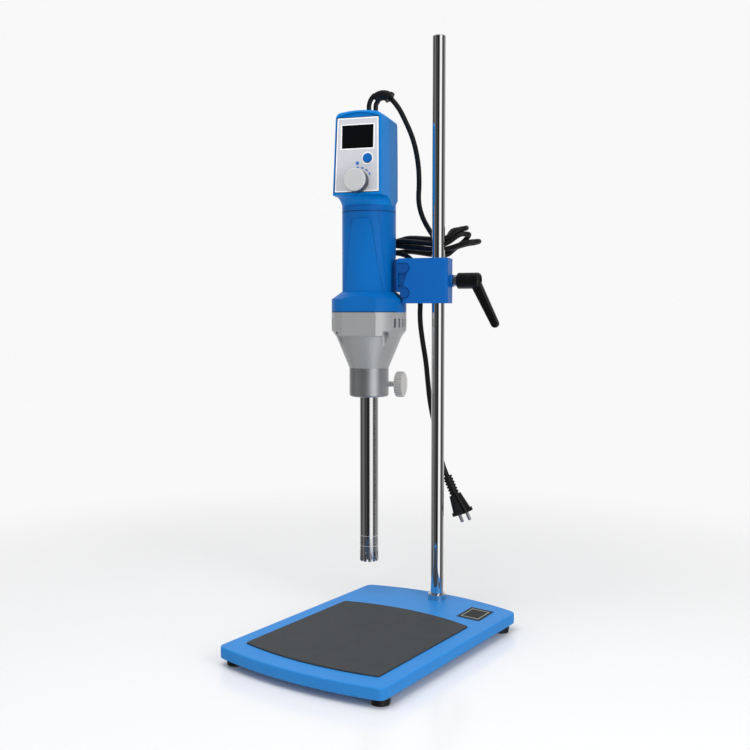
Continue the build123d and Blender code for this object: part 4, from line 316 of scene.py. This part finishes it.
def along(material, direction, origin=(0, 0, 0)):
    """Distance of a point from the origin along a direction, in metres."""
    tree = material.node_tree
    offset = tree.nodes.new("ShaderNodeVectorMath")
    offset.operation = "SUBTRACT"
    tree.links.new(object_space(material), offset.inputs[0])
    offset.inputs[1].default_value = origin
    dot = tree.nodes.new("ShaderNodeVectorMath")
    dot.operation = "DOT_PRODUCT"
    tree.links.new(offset.outputs["Vector"], dot.inputs[0])
    dot.inputs[1].default_value = direction
    return dot.outputs["Value"]


def principled(material):
    return material.node_tree.nodes["Principled BSDF"]


def bands(material, value, low, high, stops):
    """Base colour that follows a value from low to high through (share, screen levels) stops."""
    tree = material.node_tree
    reach = tree.nodes.new("ShaderNodeMapRange")
    reach.inputs["From Min"].default_value, reach.inputs["From Max"].default_value = low, high
    tree.links.new(value, reach.inputs["Value"])
    ramp = tree.nodes.new("ShaderNodeValToRGB")
    elements = ramp.color_ramp.elements
    while len(elements) < len(stops):
        elements.new(0.5)
    for element, (share, colour) in zip(elements, stops):
        element.position = share
        element.color = (*srgb(*colour), 1)
    tree.links.new(reach.outputs["Result"], ramp.inputs["Fac"])
    tree.links.new(ramp.outputs["Color"], principled(material).inputs["Base Color"])


def dim(material, reach, height):
    """Paints shade on a housing's inside: darkens it nearer the tool's axis than a reach, and above a
    height.
    """
    tree = material.node_tree
    sides = [along(material, way, HEAD_FOOT) for way in (ARM_X, ARM_Y)]
    squares = [math_node(tree, "MULTIPLY", side, side) for side in sides]
    inside = math_node(tree, "LESS_THAN", math_node(tree, "ADD", *squares), (reach * MM) ** 2)
    above = math_node(tree, "GREATER_THAN", along(material, (0, 0, 1), HEAD_FOOT), height * MM)
    mix = tree.nodes.new("ShaderNodeMix")
    mix.data_type = "RGBA"
    share, outside, shade_colour = mix.inputs[0], mix.inputs[6], mix.inputs[7]    # a colour mix's sockets
    shade_colour.default_value = (*srgb(*INSIDE_SHADE), 1)
    tree.links.new(math_node(tree, "MULTIPLY", inside, above), share)
    colour = principled(material).inputs["Base Color"]
    tree.links.new(colour.links[0].from_socket, outside)
    tree.links.new(mix.outputs[2], colour)


def add_materials():
    """Makes every material, puts it on its nodes, and returns the materials by name."""
    blue = finish("blue_paint", srgb(0, 98, 174), 0.36, tone=0.03, grain=1400, shine=0.2)
    shell = finish("blue_shell", srgb(0, 118, 198), 0.42, tone=0.03, grain=1600, shine=0.15)
    # the rear shell gets a darker copy of the front shell's blue: painted shade
    rear = finish("blue_shell_rear_shaded", srgb(8, 112, 182), 0.46, tone=0.03, grain=1600, shine=0.15)
    # the bracket's blue is darker than the clamp's: painted shade in the recess between the fingers
    bracket = finish("blue_bracket_shaded", srgb(0, 74, 146), 0.42, tone=0.04, grain=1400, shine=0.2)
    clamp = finish("blue_clamp", srgb(0, 92, 172), 0.4, tone=0.04, grain=1400, shine=0.2)
    grip = finish("blue_grip", srgb(0, 100, 178), 0.55, tone=0.03, grain=2600, relief=0.25, shine=0.15)
    plate = finish("plate_paint", srgb(42, 134, 210), 0.45, tone=0.02, grain=1800, relief=0.12,
                   shine=0.25)
    mat = finish("mat_rubber", srgb(58, 61, 64), 0.72, tone=0.06, tone_scale=60, grain=2200,
                 relief=0.35)
    rubber = finish("black_rubber", srgb(15, 15, 16), 0.5, tone=0.15, grain=1500, relief=0.2)
    nylon = finish("black_nylon", srgb(11, 11, 13), 0.33, tone=0.2, grain=1700, relief=0.2)
    chrome = finish("chrome", (0.80, 0.80, 0.81), 0.05, 1.0, tone=0.02, gloss=0.02, relief=0)
    tube = finish("polished_steel", (0.74, 0.74, 0.75), 0.1, 1.0, tone=0.02, grain=3000, relief=0.03,
                  gloss=0.03, stretch=UPRIGHT_RINGS)
    turned = finish("turned_steel", (0.72, 0.72, 0.73), 0.2, 1.0, tone=0.03, grain=1500, relief=0.04,
                    stretch=UPRIGHT_RINGS)
    satin = finish("satin_steel", (0.60, 0.61, 0.63), 0.42, 0.9, tone=0.03, grain=4000, relief=0.12,
                   stretch=UPRIGHT_RINGS)
    zinc = finish("zinc_steel", (0.58, 0.59, 0.62), 0.35, 1.0, tone=0.06)
    thumb = finish("thumb_steel", (0.80, 0.79, 0.77), 0.42, 0.7, tone=0.04, grain=2500)
    dark_steel = finish("black_oxide", (0.05, 0.05, 0.055), 0.4, 0.7, tone=0.1)
    silver = finish("silver_paint", srgb(186, 187, 188), 0.4, 0.45, tone=0.02, grain=6000, relief=0.1)
    white = finish("natural_nylon", srgb(224, 224, 216), 0.45)
    copper = finish("copper", (0.72, 0.34, 0.18), 0.3, 1.0, tone=0.08, grain=2500, relief=0.3)
    stack = finish("core_sheets", (0.30, 0.31, 0.33), 0.45, 0.9, tone=0.05, grain=6000, relief=0.4,
                   stretch=UPRIGHT_RINGS)
    carbon = finish("carbon", srgb(38, 38, 40), 0.6, tone=0.1)
    board = finish("board_green", srgb(20, 96, 58), 0.35, tone=0.05)
    panel = finish("panel_foil", srgb(196, 197, 203), 0.5, tone=0.01, grain=3000, relief=0.06)
    glass = finish("window_black", srgb(8, 9, 12), 0.12, tone=0.1, gloss=0.02, relief=0, shine=0.25)
    button = finish("button_blue", srgb(0, 96, 176), 0.35, tone=0.03, shine=0.25)
    knob = finish("knob_silver", srgb(196, 198, 202), 0.34, 0.3, tone=0.03, grain=2500)
    bands(knob, along(knob, PANEL_OUT, PANEL_POINT), 0, KNOB_REACH * MM, KNOB_BANDS)
    # painted shade inside the nose, where it shows through the vents
    dim(silver, NOSE_SHADE_REACH, NOSE_MOUTH)
    users = {
        blue: ["motor_barrel", "flange_ring"], shell: ["control_front"], rear: ["control_rear"],
        clamp: ["clamp_block"], bracket: ["head_bracket"], grip: ["grip_pad"], plate: ["base_plate"],
        mat: ["work_mat"], rubber: ["rubber_feet", "cord_boot", "plug_sleeve", "cord_lead",
                                    "cord_hank", "cord_tail"],
        nylon: ["lever_handle", "plug_body", "cooling_fan", "drive_coupling",
                "brush_holders", "button_switch", "encoder_body", "cord_tie", "display_module"],
        chrome: ["support_rod", "upper_bearing", "lower_bearing"], tube: ["tool_tube"],
        turned: ["stator_head", "rod_collar", "lever_stud", "rotor", "rotor_shaft",
                 "motor_shaft", "encoder_shaft"],
        satin: ["tool_holder"], thumb: ["thumb_screw"],
        zinc: ["foot_screws", "rod_screw", "bracket_screws", "shell_screws", "lever_screw", "plug_pins",
               "lever_spring", "brush_springs"],
        dark_steel: ["nose_screws"], silver: ["nose_housing"],
        white: ["rod_bush", "pressure_pad", "tool_bushes"], copper: ["field_windings", "commutator"],
        stack: ["field_core", "armature_core"], carbon: ["carbon_brushes"], board: ["control_board"],
        panel: ["panel_fascia"], glass: ["display_window"], button: ["start_button"],
        knob: ["speed_knob"]}
    for material, names in users.items():
        for name in names:
            wear(name, material)
    return {material.name: material for material in users}


# ------------------------------------------------------------------ prints, painted highlight and shade, joint lines and badge
LAYER_LIFT = 0.05                   # a print or painted highlight lies this far above the panel's face
LAYER_DEPTH = 0.04
GROOVE_SINK = 0.5                   # the painted shade in the groove round the panel lies this far below its face
KNOB_PLACE = (1.5, 481.5)           # along the arm, above the base plate
WINDOW_EDGES = (-18.9, 18.9, 519.0, 545.2)
PANEL_EDGES = ((-26.0, 470.3), (26.0, 470.3), (24.2, 553.5), (-24.2, 553.5))
BUTTON_PLACE = (12.0, 507.6)
BUTTON_RING = (7.0, 1.2)            # radius, width
WINDOW_BORDER = 1.1
PANEL_EDGE_HIGHLIGHT = (0.15, 1.35)         # painted highlight: white band along the panel's edge chamfer, from the edge inwards
PANEL_GROOVE_SHADE = (-0.85, -0.05)       # painted shade: dark band in the groove just outside that edge
DASH_ANGLES = (112, 93, 72, 52, 32)
DASH_RADIUS = 15.9
DASH_SIZE = (3.2, 1.5)              # along the arc, across it
MARK = [(-1.6, 501.2), (0.9, 499.6), (2.4, 502.0), (1.2, 504.4), (-1.4, 503.8)]
CIRCLE_STEPS = 40
SEAM_HEIGHT = 335.0                 # joint between the flange and the nose, above the base plate
SEAM_RADIUS = 44.0
SEAM_FLAT = 39.2                    # the flange's flats, from the tool's axis
SEAM_DEPTH = 1.0
BARREL_RADIUS = 31.5
APRON_RADIUS = 32.4                 # of the apron in front of the barrel
APRON_HALF = 18.8
GROOVE_HEIGHT = 450.6               # dark ring groove round the barrel, which also paints shade under the control box's overhang
GROOVE_WIDTH = 0.8
LINE_PROUD = {"seam": 0.08, "groove_and_shade": 0.05}     # how far each line stands out of its housing
LINE_SUNK = 0.3
LINE_STEPS = 180
STATOR_RINGS = (("stator_ring_upper", 0.4), ("stator_ring_lower", 12.5))       # below the stator's top
STATOR_RING_HALF = 0.3
STATOR_RING_PROUD = 0.08
STATOR_RING_SUNK = 0.2
BADGE_CORNERS = ((64.0, 81.0), (93.0, 79.2), (91.4, 117.2), (62.4, 119.0))      # on the base plate
BADGE_FACE = 0.84                   # shares of the badge's size
BADGE_FRAME = (0.78, 0.70)
BADGE_HOLE = 0.02                   # a band needs an inner loop; too small to see
BADGE_HEIGHTS = {"edge": 0.35, "face": 0.30, "frame": 0.36}


def panel_spot(x, z, lift=0.0):
    """Point over the panel's face, at x along the arm and z above the base plate."""
    run = (z - KNOB_PLACE[1]) / PANEL_UP.z
    return PANEL_POINT + (ARM_X * (x - KNOB_PLACE[0]) + PANEL_UP * run + PANEL_OUT * lift) * MM


def add_piece(name, verts, faces, material, body):
    mesh = bpy.data.meshes.new(name)
    mesh.from_pydata(verts, [], faces)
    mesh.materials.append(material)
    piece = bpy.data.objects.new(name, mesh)
    bpy.context.scene.collection.objects.link(piece)
    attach(piece, body)


def lay_on_panel(name, outlines, material, lift=LAYER_LIFT):
    """Thin layer on the panel; prints, the painted edge highlight and the painted groove shade are laid
    with it. An outline is an outer loop and an inner one, or None if solid.
    """
    verts, faces = [], []
    for outer, inner in outlines:
        count, start = len(outer), len(verts)
        loops = [outer] if inner is None else [outer, inner]
        for height in (lift, lift + LAYER_DEPTH):
            for loop in loops:
                verts += [panel_spot(x, z, height) for x, z in loop]
        step = count * len(loops)
        for i in range(count):
            j = (i + 1) % count
            faces.append((start + i, start + j, start + step + j, start + step + i))
            if inner is not None:
                low, high = start + count, start + step + count
                faces.append((low + j, low + i, high + i, high + j))
                faces.append((start + step + i, start + step + j, high + j, high + i))
                faces.append((start + j, start + i, low + i, low + j))
        if inner is None:
            faces.append(tuple(range(start + step, start + step + count)))
            faces.append(tuple(range(start + count - 1, start - 1, -1)))
    add_piece(name, verts, faces, material, "head")


def closed_band(name, outer, inner, low, high, material, body):
    """Flat band between two loops of points, from one height to another."""
    count, verts, faces = len(outer), [], []
    for lift in (low, high):
        for loop in (outer, inner):
            verts += [(x, y, z + lift) for x, y, z in loop]
    for i in range(count):
        j = (i + 1) % count
        a, b, c, d = [(k * count + i, k * count + j) for k in range(4)]
        faces += [(a[0], a[1], c[1], c[0]), (b[1], b[0], d[0], d[1]),
                  (c[0], c[1], d[1], d[0]), (a[1], a[0], b[0], b[1])]
    add_piece(name, verts, faces, material, body)


def seam_reach(t):
    """Distance from the tool's axis to the seam line. It shows in front and behind, where the flange is
    flat, and runs inside the flange at its sides."""
    return min(SEAM_RADIUS, SEAM_FLAT / max(abs(math.cos(t)), abs(math.sin(t))))


def barrel_reach(t):
    """Distance from the tool's axis to the barrel's outline, with the apron in front."""
    front = math.sin(t) < 0 and abs(BARREL_RADIUS * math.cos(t)) < APRON_HALF
    return APRON_RADIUS if front else BARREL_RADIUS


def round_head(reach_at, offset):
    """Loop round the head's axis at an offset from an outline."""
    loop = []
    for i in range(LINE_STEPS):
        t = 2 * math.pi * i / LINE_STEPS
        reach = reach_at(t) + offset
        loop.append(HEAD_FOOT + (ARM_X * reach * math.cos(t) + ARM_Y * reach * math.sin(t)) * MM)
    return loop


def add_joint_lines():
    """Dark joint line under the flange, and the dark ring groove round the barrel, which also paints
    shade under the control box's overhang.
    """
    navy = plain("seam_and_shade_navy", srgb(4, 28, 62), 0.5)
    for name, reach_at, low, width in (("seam", seam_reach, SEAM_HEIGHT, SEAM_DEPTH),
                                       ("groove_and_shade", barrel_reach, GROOVE_HEIGHT, GROOVE_WIDTH)):
        outer, inner = [round_head(reach_at, offset) for offset in (LINE_PROUD[name], -LINE_SUNK)]
        closed_band(name + "_line", outer, inner, low * MM, (low + width) * MM, navy, "head")


def add_stator_rings():
    """Bright lines on the two seams of the stator head."""
    low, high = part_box("stator_head")
    radius = (high[0] - low[0]) / 2
    bright = shader("seam_bright", (0.86, 0.86, 0.86), 0.35, 0.6)[0]
    turn = [math.radians(angle) for angle in range(0, 360, 5)]
    x, y = HEAD_FOOT.xy
    outer, inner = [[(x + reach * math.cos(t), y + reach * math.sin(t), 0) for t in turn]
                    for reach in (radius + STATOR_RING_PROUD * MM, radius - STATOR_RING_SUNK * MM)]
    for name, drop in STATOR_RINGS:
        height = high[2] - drop * MM
        closed_band(name, outer, inner, height - STATOR_RING_HALF * MM, height + STATOR_RING_HALF * MM,
                    bright, "tool")


def add_badge():
    """Blank dark badge with a pale edge on the base plate."""
    across, along_plate = [sum(corner[k] for corner in BADGE_CORNERS) / 4 for k in (0, 1)]

    def loop(share):
        return [((across + (x - across) * share) * MM, (along_plate + (y - along_plate) * share) * MM,
                 PLATE_TOP) for x, y in BADGE_CORNERS]

    dark = plain("badge_black", srgb(8, 9, 10), 0.6)
    pale = plain("badge_silver", srgb(150, 152, 150), 0.4)
    for part, outer, inner, material, slot in (
            ("edge", 1.0, BADGE_FACE, dark, "window_black"),
            ("face", BADGE_FACE, BADGE_HOLE, dark, "window_black"),
            ("frame", *BADGE_FRAME, pale, "pin_nickel")):
        closed_band("badge_" + part, loop(outer), loop(inner), 0, BADGE_HEIGHTS[part] * MM, material,
                    "stand")


def ring(x, z, radius, width):
    turn = [2 * math.pi * i / CIRCLE_STEPS for i in range(CIRCLE_STEPS)]
    return ([(x + radius * math.cos(t), z + radius * math.sin(t)) for t in turn],
            [(x + (radius - width) * math.cos(t), z + (radius - width) * math.sin(t)) for t in turn])


def inset(loop, width):
    """Loop of four corners moved inwards by a width."""
    low, right, high, left = (0, 1), (-1, 0), (0, -1), (1, 0)
    moves = [(left, low), (right, low), (right, high), (left, high)]
    return [(x + width * (a[0] + b[0]), z + width * (a[1] + b[1]))
            for (x, z), (a, b) in zip(loop, moves)]


def dash(angle):
    """Small bar on the arc round the knob, along the arc."""
    t, (length, width) = math.radians(angle), DASH_SIZE
    x, z = KNOB_PLACE[0] + DASH_RADIUS * math.cos(t), KNOB_PLACE[1] + DASH_RADIUS * math.sin(t)
    out, side = (math.cos(t), math.sin(t)), (-math.sin(t), math.cos(t))
    corners = [(-1, -1), (-1, 1), (1, 1), (1, -1)]
    return [(x + out[0] * a * width / 2 + side[0] * b * length / 2,
             z + out[1] * a * width / 2 + side[1] * b * length / 2) for a, b in corners][::-1]


def add_prints():
    """Window border, button ring and scale printed on the panel, a painted highlight along its edge, and
    painted shade in the groove round it.
    """
    white = plain("print_and_highlight_white", srgb(244, 245, 247), 0.5)
    ink = plain("print_blue", srgb(30, 112, 196), 0.5)
    x0, x1, z0, z1 = WINDOW_EDGES
    window = [(x0, z0), (x1, z0), (x1, z1), (x0, z1)]
    edge_highlight, groove_and_shade = [tuple(inset(PANEL_EDGES, width) for width in widths)
                      for widths in (PANEL_EDGE_HIGHLIGHT, PANEL_GROOVE_SHADE)]
    lay_on_panel("print_window_border", [(inset(window, -WINDOW_BORDER), window)], white)
    # painted highlight on the panel's edge chamfer
    lay_on_panel("panel_edge_highlight", [edge_highlight], white)
    # painted shade in the groove round the panel
    lay_on_panel("panel_groove_shade", [groove_and_shade], plain("groove_shade_navy", srgb(6, 44, 92), 0.6), lift=-GROOVE_SINK)
    lay_on_panel("print_button_ring", [ring(*BUTTON_PLACE, *BUTTON_RING)], white)
    lay_on_panel("print_scale", [(dash(angle), None) for angle in DASH_ANGLES], ink)
    lay_on_panel("print_mark", [(MARK, None)], ink)


# ------------------------------------------------------------------ mains lead
CORD_DIAMETER = 6.0
LEAD_START = (-63.81, 21.0, 586.69)
LEAD_POINTS = [
    (-55.3, 21.0, 578.2), (-45.7, 21.0, 560.0), (-36.0, 22.0, 538.0), (-30.3, 23.0, 512.0),
    (-29.0, 24.0, 487.0), (-30.6, 24.5, 466.0), (-26.0, 23.5, 448.0), (-16.5, 20.0, 432.0)]
TAIL_POINTS = [
    (-50.0, 28.5, 404.5), (-39.5, 27.0, 398.5), (-31.0, 25.5, 386.5), (-27.0, 24.0, 368.5),
    (-27.0, 22.5, 348.0), (-27.5, 22.0, 326.0), (-24.0, 21.5, 301.0), (-19.5, 21.0, 277.0),
    (-17.0, 20.5, 252.0), (-14.0, 20.0, 227.0), (-8.5, 20.0, 202.0), (-3.6, 20.0, 178.0),
    (0.7, 20.0, 155.5), (7.0, 20.0, 141.5)]
HANK_WAIST = (0.0, 15.8)            # along the arm and behind it
HANK_FOLD = 12.8                    # radius that the folds' points lie on
FOLD_TURN = 100.0                   # degrees each way from a fold's tip
FOLD_STEPS = 5
WAIST_HALF = 3.2                    # front and rear strands lie this far from the waist's middle
WAIST_RUN = 6.5                     # half length of the straight stretch in the tie
ROW_HEIGHTS = [419.8, 413.7, 407.6, 401.5]      # of the strands in the tie, from the top
HANK_TURNS = [                      # row out, row back, right fold, left fold
    (0, 0, (15.5, 24.5, 430.5, 433.8, 431.5), (-57.0, 44.0, 426.0, 420.5, 414.5)),
    (2, 2, (30.5, 24.0, 415.5, 417.5, 415.5), (-50.0, 40.5, 414.0, 417.5, 420.5)),
    (1, 3, (18.5, 24.5, 425.5, 425.5, 410.0), (-57.0, 44.0, 409.5, 407.7, 406.0))]


def fold(x, y, start, tip, end, side):
    """Points round a fold at the far end of a leg of the hank; side -1 starts at the front strand."""
    lean = math.atan2(y - HANK_WAIST[1], x - HANK_WAIST[0])
    points = []
    for i in range(FOLD_STEPS):
        share = 2 * i / (FOLD_STEPS - 1) - 1
        angle = lean - side * math.radians(FOLD_TURN) * share
        height = tip + (start - tip if share < 0 else end - tip) * abs(share)
        points.append((x + HANK_FOLD * math.cos(angle), y + HANK_FOLD * math.sin(angle), height))
    return points


def waist(row, side, way):
    """Straight stretch of a strand in the tie; way 1 runs to the right."""
    y = HANK_WAIST[1] + side * WAIST_HALF
    return [(HANK_WAIST[0] - way * WAIST_RUN, y, ROW_HEIGHTS[row]),
            (HANK_WAIST[0] + way * WAIST_RUN, y, ROW_HEIGHTS[row])]


def hank_points():
    """Turns of the hank: to the right in front, back to the left behind, and round again."""
    points = []
    for row_out, row_back, right, left in HANK_TURNS:
        points += waist(row_out, -1, 1) + fold(*right, -1)
        points += waist(row_back, 1, -1) + fold(*left, -1)
    return points


def add_cord(material):
    route = [LEAD_START] + LEAD_POINTS + hank_points() + TAIL_POINTS
    curve = bpy.data.curves.new("mains_lead", "CURVE")
    curve.dimensions = "3D"
    curve.bevel_depth = CORD_DIAMETER / 2 * MM
    curve.bevel_resolution = 6
    curve.resolution_u = 8
    curve.use_fill_caps = True
    spline = curve.splines.new("NURBS")
    spline.points.add(len(route) - 1)
    for point, place in zip(spline.points, route):
        point.co = (*arm(*place), 1)
    spline.order_u = 3
    spline.use_endpoint_u = True
    curve.materials.append(material)
    cord = bpy.data.objects.new("mains_lead", curve)
    bpy.context.scene.collection.objects.link(cord)
    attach(cord, "head")
    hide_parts("cord_lead", "cord_hank", "cord_tail")


# ------------------------------------------------------------------ the scene
bpy.context.scene.view_settings.view_transform = "Standard"
add_camera()
add_world()
for lamp in LAMPS:
    add_lamp(*lamp)
add_floor()
MATERIALS = add_materials()
add_prints()
add_joint_lines()
add_badge()
add_stator_rings()
add_cord(MATERIALS["black_rubber"])
